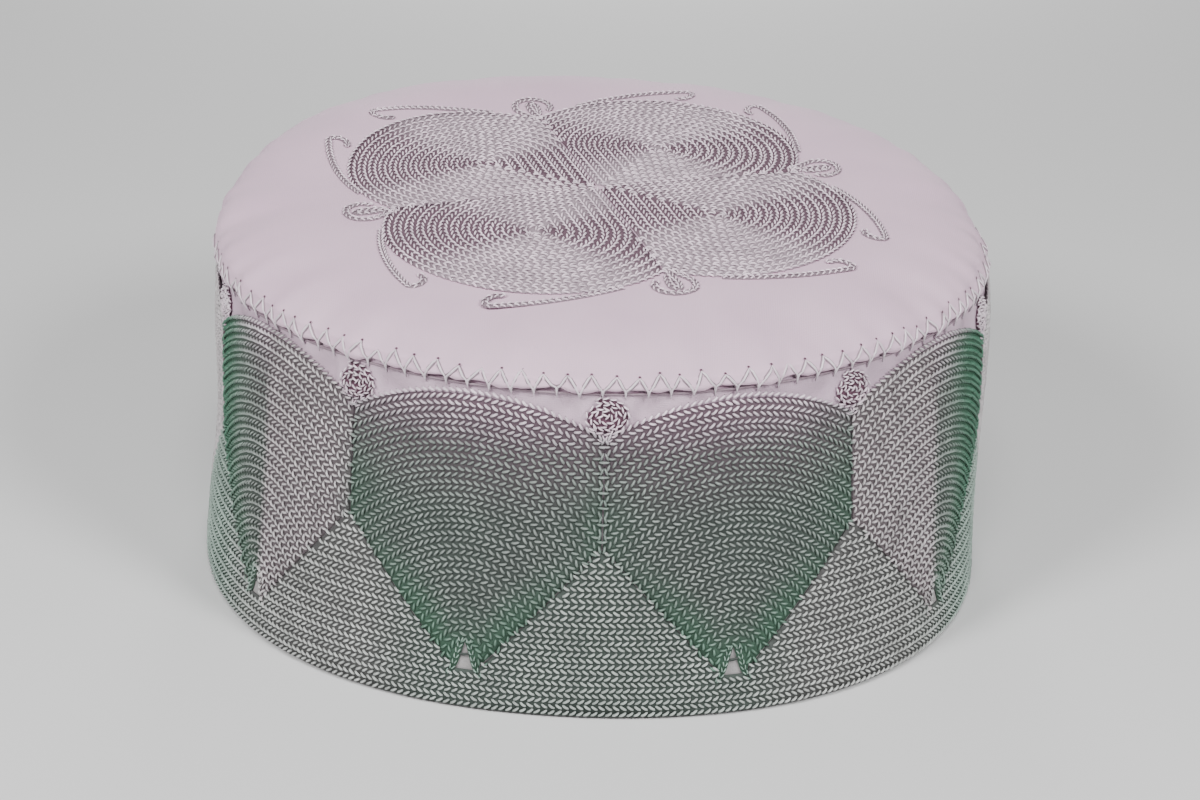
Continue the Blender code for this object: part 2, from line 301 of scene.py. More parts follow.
# %% [markdown]
# ## Soft waves in the cloth
# Where a flat panel is eased into a seam it puckers. Each zigzag stitch pulls the rolled edge in a little
# and the cloth swells between two stitches, and wider dents die out a few centimetres up the shoulder.
# A few sine waves whose counts share no factor give waves that don't look repeated and never change.

# %% Waves round the cap
ZIGZAGS = 118


def waves(angle, counts, shift):
    """A sum of sine waves round the cap, between about -1 and 1."""
    total = sum(np.sin(count * angle + shift * (1.7 + index)) for index, count in enumerate(counts))
    return total / len(counts)


def shoulder_waves(angle, rise):
    """How far the crown's cloth stands off its even form, at a distance up from its edge."""
    puckers = 0.00075 * waves(angle, (31, 43, 67), 1.0) * hump(rise, 0.0110)
    scallops = 0.00012 * np.cos(ZIGZAGS * angle) * hump(rise, 0.0040)
    dents = 0.00075 * waves(angle, (13, 19, 29), 2.0) * hump(rise - 0.0150, 0.0110)
    slow = 0.00035 * waves(angle, (5, 8, 11), 0.4) * ease((rise - 0.0080) / 0.0150)
    front = 0.35 + 0.65 * ease(0.5 + np.cos(angle))
    return puckers + scallops + front * (dents + slow * ease((0.0420 - rise) / 0.0150))


print("Zigzag pitch, mm:", round(1000 * 2 * np.pi * SEAM_RADIUS / ZIGZAGS, 2))

# %% [markdown]
# ## Crown panel
# On the real cap this is a round of poplin whose raw edge is turned under, laid on the band and topstitched
# down. It could be simulated, but a cap that stands by itself is stiff, so the turned profile of the CAD
# solid is lofted round with many more points, and the waves move them in and out. The cloth is thinner
# than the CAD wall, so that the inside of the tight rolled edge never comes through its outside.

# %% The crown's profile
CROWN_COLUMNS = 472
CROWN_CLOTH = 0.0012


def crown_profile():
    """Edge to centre: the rolled lip, the upright foot, the shoulder and the top, as radius and height."""
    lip = [(-0.0014, 0.0003), (-0.0007, 0.0002), (0.0, 0.0005), (0.0004, 0.0010), (0.0005, 0.0016)]
    lip += [(0.0004, 0.0022), (0.0002, 0.0030), (0.0001, 0.0037)]
    points = [(CROWN_EDGE + out, SEAM_HEIGHT + up) for out, up in lip]
    shoulder = CROWN_EDGE - (CROWN_EDGE - 0.0640) * (1.0 - np.cos(np.linspace(0.0, np.pi / 2.0, 26)))
    points += [(radius, crown_top(radius)) for radius in shoulder]
    points += [(radius, crown_top(radius)) for radius in np.linspace(0.0610, 0.0010, 18)]
    return np.array(points)


print("Points from the crown's edge to its centre:", len(crown_profile()))


# %% Crown cloth
def crown_mesh():
    profile = crown_profile()
    angle = np.linspace(-np.pi, np.pi, CROWN_COLUMNS, endpoint=False)
    radius, height = profile[:, 0][:, None], profile[:, 1][:, None]
    points = crown_turned(angle[None, :], radius, height)
    rise = walked(profile)
    along = np.roll(points, -1, axis=1) - np.roll(points, 1, axis=1)
    normal = unit(np.cross(along, np.gradient(points, axis=0)))
    points = points + normal * shoulder_waves(angle[None, :], rise[:, None])[..., None]
    reach = (rise[-1] - rise)[:, None]
    turn = np.linspace(-np.pi, np.pi, CROWN_COLUMNS + 1)[None, :]
    uv = np.stack([reach * np.sin(turn), -reach * np.cos(turn)], -1)
    mesh = grid_mesh("crown_panel_cloth", points, uv, wrap_columns=True)

    def close_centre(work):
        rim = [edge for edge in work.edges if edge.is_boundary and edge.verts[0].co.xy.length < 0.002]
        bmesh.ops.holes_fill(work, edges=rim)

    area = 2.0 * np.pi * np.sum(np.diff(rise) * (profile[1:, 0] + profile[:-1, 0]) / 2.0)
    return edited(mesh, close_centre), float(area)


crown, crown_area = crown_mesh()
crown.materials.append(crown_cloth)
crown_piece = finished("crown_panel_cloth", crown, ["crown_panel"])
crown_wall = crown_piece.modifiers.new("cloth", "SOLIDIFY")
crown_wall.thickness = CROWN_CLOTH
crown_wall.offset = -1.0
print("Crown panel:", len(crown.polygons), "faces, area, cm2:", round(1e4 * crown_area, 1))

# %% [markdown]
# ## Side band
# One long strip of poplin closed into a ring, its hem turned up inside. It is made as a closed loop of
# points, outside from hem to seam and back down inside, so the wall and the fold are one skin. The top
# edge goes up 1.2 mm behind the crown's lip and is drawn in there, so that no gap shows. Beside each knot
# the embroidery draws the cloth in, so the bare cloth there gets a shallow dent.

# %% How the band is drawn in
BAND_COLUMNS = 720
DEEPEST_DENT = 0.0015
HEM_FOLD_HEIGHT = 0.0080
KNOT_HEIGHT = 0.0693


def joint_offset(across):
    """Distance from the nearest joint between two fans."""
    pitch = 2.0 * SHEET_HALF
    start = FIRST_JOINT * SHEET_RADIUS
    return (across - start + SHEET_HALF) % pitch - SHEET_HALF


def band_waves(across, height):
    """How far the bare cloth at the top of the band is drawn in. It never comes out towards the stitches."""
    side = np.abs(joint_offset(across))
    beside_knot = ease((side - 0.0047) / 0.0030)
    dents = 0.0012 * hump(side - 0.0084, 0.0036) * hump(height - 0.0703, 0.0030)
    angle = across / SHEET_RADIUS
    puckers = 0.00022 * (1.0 + waves(angle, (37, 53, 71), 0.7)) * ease((height - 0.0600) / 0.0100)
    tuck = 0.0006 * ease((height - (SEAM_HEIGHT - 0.0003)) / 0.0008)
    total = (dents + puckers) * beside_knot + tuck * (0.5 + 0.5 * beside_knot)
    return -np.minimum(total, DEEPEST_DENT)


print("Deepest dent beside a knot, mm:", 1000 * DEEPEST_DENT)


# %% Band cloth
def band_mesh():
    across = np.linspace(-ROUND / 2.0, ROUND / 2.0, BAND_COLUMNS, endpoint=False)[None, :]
    outer = np.concatenate(
        (np.linspace(0.0, 0.0008, 3), np.linspace(0.0040, 0.0600, 12), np.linspace(0.0620, 0.0730, 12),
         np.linspace(0.0735, SEAM_HEIGHT, 6), [SEAM_HEIGHT + 0.0006, SEAM_HEIGHT + 0.0012])
    )
    round_hem = np.array([0.0004, 0.0001] + [0.0] * (len(outer) - 2))
    walls = [(outer, -round_hem, True)]
    inner = np.array([SEAM_HEIGHT, 0.0600, 0.0400, 0.0200, HEM_FOLD_HEIGHT])
    walls.append((inner, np.full(5, -CLOTH), False))
    fold = np.array([HEM_FOLD_HEIGHT - 0.0004, HEM_FOLD_HEIGHT - 0.0012, 0.0004, 0.0])
    walls.append((fold, -CLOTH - np.array([0.0006, 0.0008, 0.0008, 0.0005]), False))
    rows = []
    for heights, lift, waved in walls:
        for height, out in zip(heights, lift):
            point, normal = with_normal(band_skin, across, np.full_like(across, height))
            move = out + (band_waves(across, height) if waved else 0.0)
            rows.append((point + normal * np.broadcast_to(move, across.shape)[..., None])[0])
            rows[-1][:, 2] = height
    points = np.array(rows)
    length = walked(points[:, 0])
    length = np.append(length, length[-1] + CLOTH)
    flat_across = np.linspace(-ROUND / 2.0, ROUND / 2.0, BAND_COLUMNS + 1)
    uv = np.stack(np.broadcast_arrays(flat_across[None, :], length[:, None]), -1)
    return edited(grid_mesh("side_band_cloth", points, uv, wrap_rows=True, wrap_columns=True), turn_outwards)


band = band_mesh()
band.materials.append(band_cloth)
band_piece = finished("side_band_cloth", band, ["side_band"])
print("Side band:", len(band.polygons), "faces")

# %% [markdown]
# ## Rayon embroidery thread
# Rayon thread is a soft twist of continuous filaments. It is smooth and shines along its length, so each
# leg of a stitch has a light back and sinks into shadow at both ends, where it dives through the cloth.
# The map that runs along and across each leg carries both, and the shadow at the ends is painted shade.
# The thread is drawn lilac white high on the band and darker and grey green lower down, so the colour goes
# by height: the grey green is partly its own colour and partly a painted reflection, and the darkening is
# painted shade. Two attributes of each field of embroidery say where it is greenest, partly a painted green
# reflection, which also softens the painted shade at the ends, and where it shines pale, a painted sheen.

# %% Thread material
# Where the colour changes from the hem up, as shares of the seam's height. The darkening below the top is
# painted shade.
COLOUR_STOPS = (0.0, 0.55, 0.81, 0.89, 0.945)


def rayon(name, top, middle, low, green, pale, hollow, pale_hollow, dim):
    """Colours from the seam down, the greenest, the painted sheen's, the end shade's, and how dim the ends
    are.
    """
    material, tree, shader = new_material(name)
    place = add(tree, "ShaderNodeTexCoord").outputs["Object"]
    height = add(tree, "ShaderNodeSeparateXYZ", {"Vector": place}).outputs["Z"]
    share = add(tree, "ShaderNodeMath", {0: height, 1: SEAM_HEIGHT}, operation="DIVIDE")
    ramp = add(tree, "ShaderNodeValToRGB", {"Fac": share})
    for position in COLOUR_STOPS[1:-1]:
        ramp.color_ramp.elements.new(position)
    colours = (low, middle, middle, top[1], top[0])
    for element, position, colour in zip(ramp.color_ramp.elements, COLOUR_STOPS, colours):
        element.position = position
        element.color = linear(colour)
    greenest, shine, strand = [
        add(tree, "ShaderNodeAttribute", attribute_name=stored).outputs["Fac"]
        for stored in ("green_share", "pale_share", "strand")
    ]
    colour = add(tree, "ShaderNodeMix", {"Factor": greenest, "A": ramp, "B": linear(green)}, data_type="RGBA")
    colour = add(tree, "ShaderNodeMix", {"Factor": shine, "A": colour, "B": linear(pale)}, data_type="RGBA")
    by_strand = add(tree, "ShaderNodeMapRange", {"Value": strand, "To Min": 0.84, "To Max": 1.12})
    patch = add(tree, "ShaderNodeTexNoise", {"Vector": place, "Scale": 130.0, "Detail": 2.0})
    ends = {"Value": patch, "From Min": 0.3, "From Max": 0.7, "To Min": 0.86, "To Max": 1.14}
    by_patch = add(tree, "ShaderNodeMapRange", ends)
    light = add(tree, "ShaderNodeMath", {0: by_strand, 1: by_patch}, operation="MULTIPLY")
    lit = {"Factor": 1.0, "A": colour, "B": light}
    colour = add(tree, "ShaderNodeMix", lit, data_type="RGBA", blend_type="MULTIPLY")
    # Painted shade at both ends of each leg, paler under the painted sheen.
    dark = {"Factor": shine, "A": linear(hollow), "B": linear(pale_hollow)}
    holes = add(tree, "ShaderNodeMix", dark, data_type="RGBA")
    leg = add(tree, "ShaderNodeUVMap", uv_map="leg")
    along = add(tree, "ShaderNodeSeparateXYZ", {"Vector": leg}).outputs["X"]
    from_middle = add(tree, "ShaderNodeMath", {0: along, 1: 0.5}, operation="SUBTRACT")
    from_middle = add(tree, "ShaderNodeMath", {0: from_middle}, operation="ABSOLUTE")
    ends = {"Value": from_middle, "From Min": 0.22, "From Max": 0.50, "To Max": dim}
    shade = add(tree, "ShaderNodeMapRange", ends, interpolation_type="SMOOTHSTEP")
    softer = add(tree, "ShaderNodeMapRange", {"Value": greenest, "To Min": 1.0, "To Max": 0.55})
    shade = add(tree, "ShaderNodeMath", {0: shade, 1: softer}, operation="MULTIPLY")
    colour = add(tree, "ShaderNodeMix", {"Factor": shade, "A": colour, "B": holes}, data_type="RGBA")
    wave = {"Vector": leg, "Scale": 1.6, "Distortion": 0.8, "Detail": 2.0}
    filaments = add(tree, "ShaderNodeTexWave", wave, bands_direction="Y").outputs["Fac"]
    bump = add(tree, "ShaderNodeBump", {"Strength": 0.35, "Distance": 0.00006, "Height": filaments})
    feed(tree, shader, {"Base Color": colour, "Normal": bump})
    feed(tree, shader, {"Roughness": 0.42, "IOR": 1.53, "Specular IOR Level": 0.5})
    return material


print("The colour changes at, mm above the hem:", [round(1000 * SEAM_HEIGHT * s, 1) for s in COLOUR_STOPS])

# %% The five threads
# The fans run from lilac at the seam to a darker grey green at the tips, the darkening painted shade,
# and the ground below them is paler.
fan_thread = rayon(
    "rayon thread of the fans",
    ("ecdde7", "c4b8c1"), "878e8a", "8b958e", "48755f", "c5bfc1", "1e161a", "3a3236", 0.9,
)
ground_thread = rayon(
    "rayon thread of the ground",
    ("e8d9e3", "c2b6bf"), "a8ada9", "b3b9b5", "82a695", "cfcbcb", "1e1c1b", "3a3638", 0.9,
)
# The knots and the rosette are lilac white all over. The topstitch has no painted shade at its ends.
knot_thread = rayon(
    "rayon thread of the knots",
    ("ecdde7", "dccbd6"), "b5a9b2", "949894", "b3b7b4", "c5bfc1", "28151f", "28151f", 0.9,
)
rosette_thread = rayon(
    "rayon thread of the rosette",
    ("f0deea", "f0deea"), "f0deea", "f0deea", "f0deea", "e8d5e1", "6c5763", "a8959f", 0.7,
)
seam_thread = rayon(
    "rayon thread of the topstitch",
    ("f3e6ef", "f3e6ef"), "eadbe4", "eadbe4", "eadbe4", "eadbe4", "8a7680", "8a7680", 0.0,
)
print("Threads:", len([name for name in bpy.data.materials.keys() if name.startswith("rayon")]))


# %% Shadow between the stitches
def shadowed(name, top, low, green, pale):
    """Painted shade of the cloth and under-thread deep between the stitches: matt and dark, browner near the
    seam.
    """
    material, tree, shader = new_material(name)
    place = add(tree, "ShaderNodeTexCoord").outputs["Object"]
    height = add(tree, "ShaderNodeSeparateXYZ", {"Vector": place}).outputs["Z"]
    rise = add(tree, "ShaderNodeMapRange", {"Value": height, "From Min": 0.045, "From Max": SEAM_HEIGHT})
    by_height = {"Factor": rise, "A": linear(low), "B": linear(top)}
    colour = add(tree, "ShaderNodeMix", by_height, data_type="RGBA")
    # The painted green reflection and the painted sheen tint the shade too.
    for stored, tint in (("green_share", green), ("pale_share", pale)):
        share = add(tree, "ShaderNodeAttribute", attribute_name=stored).outputs["Fac"]
        tinted = {"Factor": share, "A": colour, "B": linear(tint)}
        colour = add(tree, "ShaderNodeMix", tinted, data_type="RGBA")
    grain = add(tree, "ShaderNodeTexNoise", {"Vector": place, "Scale": 900.0})
    mottled = {"Factor": 0.35, "A": colour, "B": grain}
    colour = add(tree, "ShaderNodeMix", mottled, data_type="RGBA", blend_type="MULTIPLY")
    feed(tree, shader, {"Base Color": colour, "Roughness": 0.9, "Specular IOR Level": 0.1})
    return material


# Four cloths in painted shade: three make the holes between stitches read dark, least so in the rosette,
# and the fourth is the painted shadow beside the topstitch and under the lip.
band_hollow = shadowed("poplin in shadow under the band's stitches", "735d6a", "4f5552", "456653", "70676b")
knot_hollow = shadowed("poplin in shadow under the knots' stitches", *["6a4d5c"] * 4)
rosette_hollow = shadowed("poplin in shadow under the rosette's stitches", *["705a66"] * 3, "b3a3ad")
thread_shade = shadowed("poplin pressed down beside the topstitch", *["a08d98"] * 4)
print("Cloths in shadow:", len([name for name in bpy.data.materials.keys() if name.startswith("poplin")]))

# %% [markdown]
# ## One chain stitch
# A chain stitch is a loop of thread. Its two legs rise out of the last loop, spread, and close again at the
# next needle hole, so a row of them looks like nested Vs. Each leg here is a three-sided tube on a bowed
# path, pointed at both ends where it dives. Smooth shading makes three sides look round, which matters
# because this shape is repeated more than ten thousand times. It points along +X, is 2.8 mm wide, and its
# feet are 0.34 mm below the surface that it is set on.

# %% Stitch shape
STITCH = 0.00154
ROW = 0.00285
LEG_PATH = np.array([
    (-0.00084, 0.00130, -0.00034),
    (-0.00056, 0.00113, 0.00014),
    (-0.00018, 0.00088, 0.00040),
    (0.00026, 0.00058, 0.00040),
    (0.00060, 0.00034, 0.00010),
    (0.00080, 0.00018, -0.00034),
])
LEG_WIDTHS = (0.0, 0.00028, 0.00032, 0.00032, 0.00028, 0.0)
LEG_FLATNESS = 0.85
TUBE_CORNERS = ((1.0, -0.4), (0.0, 1.0), (-1.0, -0.4))
print("Stitches along a row are, mm apart:", round(1000 * STITCH, 2))


# %% One leg
def tube(path, first):
    """A three-sided tube along a path with a point at each end: corners, faces and a UV for each corner."""
    points, faces, uvs = [path[0]], [], []
    rings = []
    last = len(path) - 1
    for index in range(1, last):
        ahead = path[index + 1] - path[index - 1]
        side = unit(np.cross(ahead, (0.0, 0.0, 1.0)))
        above = unit(np.cross(side, ahead))
        rings.append(len(points))
        for across, lift in TUBE_CORNERS:
            points.append(path[index] + LEG_WIDTHS[index] * (side * across + above * lift * LEG_FLATNESS))
    points.append(path[last])
    ring_u = np.linspace(0.0, 1.0, len(path))
    sides = len(TUBE_CORNERS)
    for turn in range(sides):
        nearer, further = turn / sides, (turn + 1) / sides
        after = (turn + 1) % sides
        faces.append((0, rings[0] + after, rings[0] + turn))
        uvs += [(0.0, nearer), (ring_u[1], further), (ring_u[1], nearer)]
        for index, (a, b) in enumerate(zip(rings, rings[1:])):
            faces.append((a + turn, a + after, b + after, b + turn))
            u, w = ring_u[index + 1], ring_u[index + 2]
            uvs += [(u, nearer), (u, further), (w, further), (w, nearer)]
        faces.append((rings[-1] + turn, rings[-1] + after, len(points) - 1))
        uvs += [(ring_u[-2], nearer), (ring_u[-2], further), (1.0, nearer)]
    faces = [tuple(first + corner for corner in face) for face in faces]
    return points, faces, uvs


print("Faces of one leg:", len(tube(LEG_PATH, 0)[1]))


# %% Two legs make a stitch
def stitch_mesh(name):
    """Two legs, each the mirror image of the other, as one mesh with a UV map along each leg."""
    points, faces, uvs = [], [], []
    for hand in (1.0, -1.0):
        more_points, more_faces, more_uvs = tube(LEG_PATH * np.array([1.0, hand, 1.0]), len(points))
        points += more_points
        faces += more_faces
        uvs += more_uvs
    mesh = bpy.data.meshes.new(name)
    mesh.from_pydata([tuple(map(float, point)) for point in points], [], faces)
    mesh.uv_layers.new(name="leg").data.foreach_set("uv", np.array(uvs, np.float32).ravel())
    return edited(mesh, turn_outwards)


chain_mesh = stitch_mesh("chain_stitch")
chain_stitch = bpy.data.objects.new("chain_stitch", chain_mesh)
STITCH_TRIANGLES = sum(len(face.vertices) - 2 for face in chain_mesh.polygons)
print("One chain stitch:", STITCH_TRIANGLES, "triangles")

# %% [markdown]
# ## A tree that sews
# The needle puts the same loop down every 1.5 mm along a line, so this is work for Geometry Nodes. The tree
# takes lines that lie on the cloth, with the direction that stands square on the cloth stored on each
# point. It spaces points along them, turns one stitch to each, varies its turn and size a little from a
# fixed seed, keeps a random number with each stitch for its shade, and makes the copies real.

# %% The start and end of every tree
def new_tree(name, sockets):
    """A tree with named inputs: the tree and the sockets that carry them."""
    tree = bpy.data.node_groups.new(name, "GeometryNodeTree")
    for label, kind in sockets:
        tree.interface.new_socket(label, in_out="INPUT", socket_type="NodeSocket" + kind)
    tree.interface.new_socket("Result", in_out="OUTPUT", socket_type="NodeSocketGeometry")
    return tree, add(tree, "NodeGroupInput").outputs


def end_tree(tree, geometry, material):
    """Every tree ends the same way: copies made real, then their material."""
    real = add(tree, "GeometryNodeRealizeInstances", {"Geometry": geometry})
    painted = add(tree, "GeometryNodeSetMaterial", {"Geometry": real, "Material": material})
    add(tree, "NodeGroupOutput", {"Result": painted})
    return tree


print("Trees so far:", len(bpy.data.node_groups))

# %% Geometry Nodes for rows of stitches
# The smallest and largest stitch as a share of its size, drawn with a seed of their own.
SHRUNK, SWOLLEN = 0.93, 1.06
OTHER_SEED = 77


def sewing_tree():
    tree, given = new_tree("sew stitches along lines", (
        ("Lines", "Geometry"),
        ("Stitch", "Object"),
        ("Stitch length", "Float"),
        ("Size", "Vector"),
        ("Unevenness", "Float"),
        ("Seed", "Int"),
        ("Thread", "Material"),
    ))
    curve = add(tree, "GeometryNodeMeshToCurve", {"Mesh": given["Lines"]})
    spacing = {"Curve": curve, "Length": given["Stitch length"]}
    points = add(tree, "GeometryNodeCurveToPoints", spacing, mode="LENGTH").outputs
    square = add(tree, "GeometryNodeInputNamedAttribute", {"Name": "square"}, data_type="FLOAT_VECTOR")
    axes = {"Primary Axis": points["Tangent"], "Secondary Axis": square}
    turned = add(tree, "FunctionNodeAxesToRotation", axes, primary_axis="X", secondary_axis="Z")
    most = add(tree, "ShaderNodeCombineXYZ", {axis: given["Unevenness"] for axis in "XYZ"})
    least = add(tree, "ShaderNodeVectorMath", {0: most, "Scale": -1.0}, operation="SCALE")
    limits = {0: least, 1: most, "Seed": given["Seed"]}
    wobble = add(tree, "FunctionNodeRandomValue", limits, data_type="FLOAT_VECTOR")
    both = {"Rotation": turned, "Rotate By": wobble}
    rotation = add(tree, "FunctionNodeRotateRotation", both, rotation_space="LOCAL")
    seed = add(tree, "FunctionNodeIntegerMath", {0: given["Seed"], 1: OTHER_SEED}, operation="ADD")
    limits = {2: SHRUNK, 3: SWOLLEN, "Seed": seed}
    swell = add(tree, "FunctionNodeRandomValue", limits, data_type="FLOAT")
    size = add(tree, "ShaderNodeVectorMath", {0: given["Size"], "Scale": swell}, operation="SCALE")
    stitch = add(tree, "GeometryNodeObjectInfo", {"Object": given["Stitch"], "As Instance": True})
    copies = add(tree, "GeometryNodeInstanceOnPoints", {
        "Points": points["Points"],
        "Instance": stitch.outputs["Geometry"],
        "Rotation": rotation,
        "Scale": size,
    })
    chance = add(tree, "FunctionNodeRandomValue", {"Seed": given["Seed"]}, data_type="FLOAT")
    kept = {"Geometry": copies, "Name": "strand", "Value": chance}
    marked = add(tree, "GeometryNodeStoreNamedAttribute", kept, data_type="FLOAT", domain="INSTANCE")
    return end_tree(tree, marked, given["Thread"])


sewing = sewing_tree()
print("Sewing tree:", len(sewing.nodes), "nodes")


# %% Running a tree on a mesh
def grown(name, base_mesh, tree, **inputs):
    """Runs a node tree on a mesh with its inputs set, and returns the result as a plain mesh."""
    carrier = bpy.data.objects.new(name, base_mesh)
    bpy.context.scene.collection.objects.link(carrier)
    modifier = carrier.modifiers.new("grow", "NODES")
    modifier.node_group = tree
    for item in tree.interface.items_tree:
        key = item.name.lower().replace(" ", "_")
        if item.in_out == "INPUT" and key in inputs:
            modifier[item.identifier] = inputs[key]
    depsgraph = bpy.context.evaluated_depsgraph_get()
    mesh = bpy.data.meshes.new_from_object(carrier.evaluated_get(depsgraph))
    bpy.data.objects.remove(carrier, do_unlink=True)
    mesh.name = name
    return mesh


print("Inputs of the sewing tree:", len(sewing.interface.items_tree) - 1)

# %% [markdown]
# ## Rows and the bed that they lie in
# A field of embroidery is a set of lines for the needle and a thin bed under them: the cloth pressed flat
# by the thread, in shadow between the stitches. Lines are made as points and edges, and the bed as a grid
# over the same field. Stitches and bed are joined into one piece that stands for the CAD pad.

# %% Lines for the needle
# The bed's height above the cloth and how deep it sinks in, how far rows keep from an edge, how unevenly
# stitches are turned, in radians, and the fewest points that make a row.
BED = 0.00045
BED_SINKS = 0.0001
EDGE = 0.0004
UNEVEN = 0.05
FEWEST_POINTS = 6


def runs(inside, *coordinates):
    """The stretches of a line whose points are all inside, each long enough for a few stitches."""
    flags = np.concatenate(([False], inside, [False])).astype(int)
    ends = np.flatnonzero(np.diff(flags))
    return [[c[a:b] for c in coordinates] for a, b in zip(ends[::2], ends[1::2])
            if b - a >= FEWEST_POINTS]


def line_mesh(lines, skin, lift):
    """Lines of flat coordinates, laid on a skin as points and edges with the square direction on each."""
    points, squares, edges, start = [], [], [], 0
    for u, v in lines:
        point, normal = with_normal(skin, u, v)
        points.append(point + normal * lift)
        squares.append(normal)
        edges += [(start + i, start + i + 1) for i in range(len(u) - 1)]
        start += len(u)
    mesh = bpy.data.meshes.new("lines")
    mesh.from_pydata(np.concatenate(points).tolist(), edges, [])
    square = mesh.attributes.new("square", "FLOAT_VECTOR", "POINT")
    square.data.foreach_set("vector", np.concatenate(squares).astype(np.float32).ravel())
    return mesh


def sewn(name, lines, skin, thread, seed, size=(1.0, 0.96, 1.0), length=STITCH, lift=BED):
    """Rows of stitches along lines. No two rows start at quite the same place."""
    chance = np.random.default_rng(seed)
    lines = [(u[late:], v[late:]) for (u, v), late in zip(lines, chance.integers(0, 4, len(lines)))]
    return grown(
        name,
        line_mesh(lines, skin, lift),
        sewing,
        stitch=chain_stitch,
        stitch_length=length,
        size=size,
        unevenness=UNEVEN,
        seed=seed,
        thread=thread,
    )


print("Rows are, mm apart:", 1000 * ROW)


# %% Beds under the stitches
def joined(name, meshes):
    """Several meshes as one, with their materials and attributes."""
    objects = [bpy.data.objects.new(name, mesh) for mesh in meshes]
    for item in objects:
        bpy.context.scene.collection.objects.link(item)
    with bpy.context.temp_override(active_object=objects[0], selected_editable_objects=objects):
        bpy.ops.object.join()
    mesh = objects[0].data
    bpy.data.objects.remove(objects[0], do_unlink=True)
    return mesh


def bed_mesh(name, u, v, skin, material, lift=BED):
    """A closed pad under a field, from a grid of flat coordinates."""
    top, normal = with_normal(skin, u, v)
    top = top + normal * lift
    bottom = top - normal * (lift - BED_SINKS)
    rows, columns = u.shape
    loop = np.concatenate((top, bottom[::-1]))
    index = np.arange(2 * rows * columns).reshape(2 * rows, columns)
    faces = []
    for this, after in zip(index, np.roll(index, -1, axis=0)):
        for a in range(columns - 1):
            faces.append((this[a], this[a + 1], after[a + 1], after[a]))
    for end in (index[:, 0], index[:, -1]):
        for row in range(rows - 1):
            faces.append((end[row], end[row + 1], end[-2 - row], end[-1 - row]))
    mesh = bpy.data.meshes.new(name)
    mesh.from_pydata(loop.reshape(-1, 3).tolist(), [], [tuple(map(int, face)) for face in faces])
    mesh.uv_layers.new(name="leg")
    mesh.materials.append(material)
    return edited(mesh, turn_outwards)


def ribbon_bed(name, line, skin, half, material, lift):
    """A closed narrow bed under one line."""
    route = np.stack(line, -1)
    ahead = unit(np.gradient(route, axis=0))
    side = np.stack([-ahead[:, 1], ahead[:, 0]], -1) * half
    grid = np.stack([route - side, route + side])
    return bed_mesh(name, grid[..., 0], grid[..., 1], skin, material, lift)


print("Bed above the cloth, mm:", 1000 * BED)


# %% A field as one piece
def set_share(mesh, name, share, flat=unrolled):
    """Stores a share between 0 and 1 at each point, from a function of flat coordinates."""
    points = np.empty(len(mesh.vertices) * 3, np.float32)
    mesh.vertices.foreach_get("co", points)
    values = share(*flat(points.reshape(-1, 3).astype(float)))
    attribute = mesh.attributes.new(name, "FLOAT", "POINT")
    attribute.data.foreach_set("value", np.clip(values, 0.0, 1.0).astype(np.float32))


def field(name, meshes, node, shares=(), flat=unrolled):
    """Joins stitches and beds into one piece that stands for a CAD pad. Returns its number of faces."""
    mesh = joined(name, meshes)
    for attribute, share in shares:
        set_share(mesh, attribute, share, flat)
    finished(name, mesh, [node])
    return len(mesh.polygons)


print("A row has at least", FEWEST_POINTS, "points")

# %% [markdown]
# ## Fans
# Each fan is a stack of arcs about a point just above its tip, 2.85 mm apart, cut off by the fan's two
# straight lower edges and by the joints with its neighbours. The machine sews one fan from left to right
# and the next from right to left, so the Vs point the other way in every second fan. Under the tip the
# cloth stays bare in a small notch shaped like a bell, with a row of small stitches down each side.

# %% The fans' outline on the flat layout
FAN_CENTRE = 0.0128
FAN_RADIUS = 0.0595
FAN_CORNER = 0.0400
FAN_FOOT_HALF = 0.0035
FAN_FOOT = 0.0105
NOTCH_APEX = 0.0145
NOTCH_BASE = 0.0080
NOTCH_HALF = 0.0030
NOTCH_TOP = 0.0156
NOTCH_SIZE = (0.72, 0.44, 0.90)
NOTCH_STITCH = 0.00125
NOTCH_TRIM = 0.0009
POINT_SPACING = 0.0003


def fan_middle(number):
    """Where a fan's middle lies on the layout. Half a fan earlier is the joint before it."""
    return (FIRST_JOINT + (number + 0.5) * 2.0 * np.pi / FAN_COUNT) * SHEET_RADIUS


def fan_lower_edge(across):
    across = np.abs(across)
    inner = NOTCH_APEX + (FAN_FOOT - NOTCH_APEX) * across / FAN_FOOT_HALF
    share = (across - FAN_FOOT_HALF) / (SHEET_HALF - FAN_FOOT_HALF)
    outer = FAN_FOOT + (FAN_CORNER - FAN_FOOT) * share
    return np.where(across <= FAN_FOOT_HALF, inner, outer)


def fan_upper_edge(across):
    return FAN_CENTRE + np.sqrt(FAN_RADIUS ** 2 - across ** 2)


print("A fan is, mm wide:", round(2000 * SHEET_HALF, 1))


# %% The bare notch under each tip
def notch_edge(height):
    """Half the width of the bare notch, which is shaped like a small bell."""
    share = np.clip((NOTCH_TOP - height) / (NOTCH_TOP - NOTCH_BASE), 0.0, 1.0)
    return NOTCH_HALF * (0.62 * share ** 0.8 + 0.38 * share ** 6)


def notch_side(across):
    """Height of the notch's side at a distance from its middle."""
    height = np.linspace(NOTCH_TOP, NOTCH_BASE, 40)
    return np.interp(np.abs(across), notch_edge(height), height)


def notch_lines(number):
    """A row of small stitches down each side of the notch."""
    middle = fan_middle(number)
    height = np.linspace(NOTCH_TOP + 0.0008, NOTCH_BASE + 0.0004, 30)
    beside = notch_edge(height) + NOTCH_TRIM
    return [(middle - beside, height), (middle + beside, height)]


print("A notch is, mm wide at its foot:", round(2000 * float(notch_edge(NOTCH_BASE)), 1))


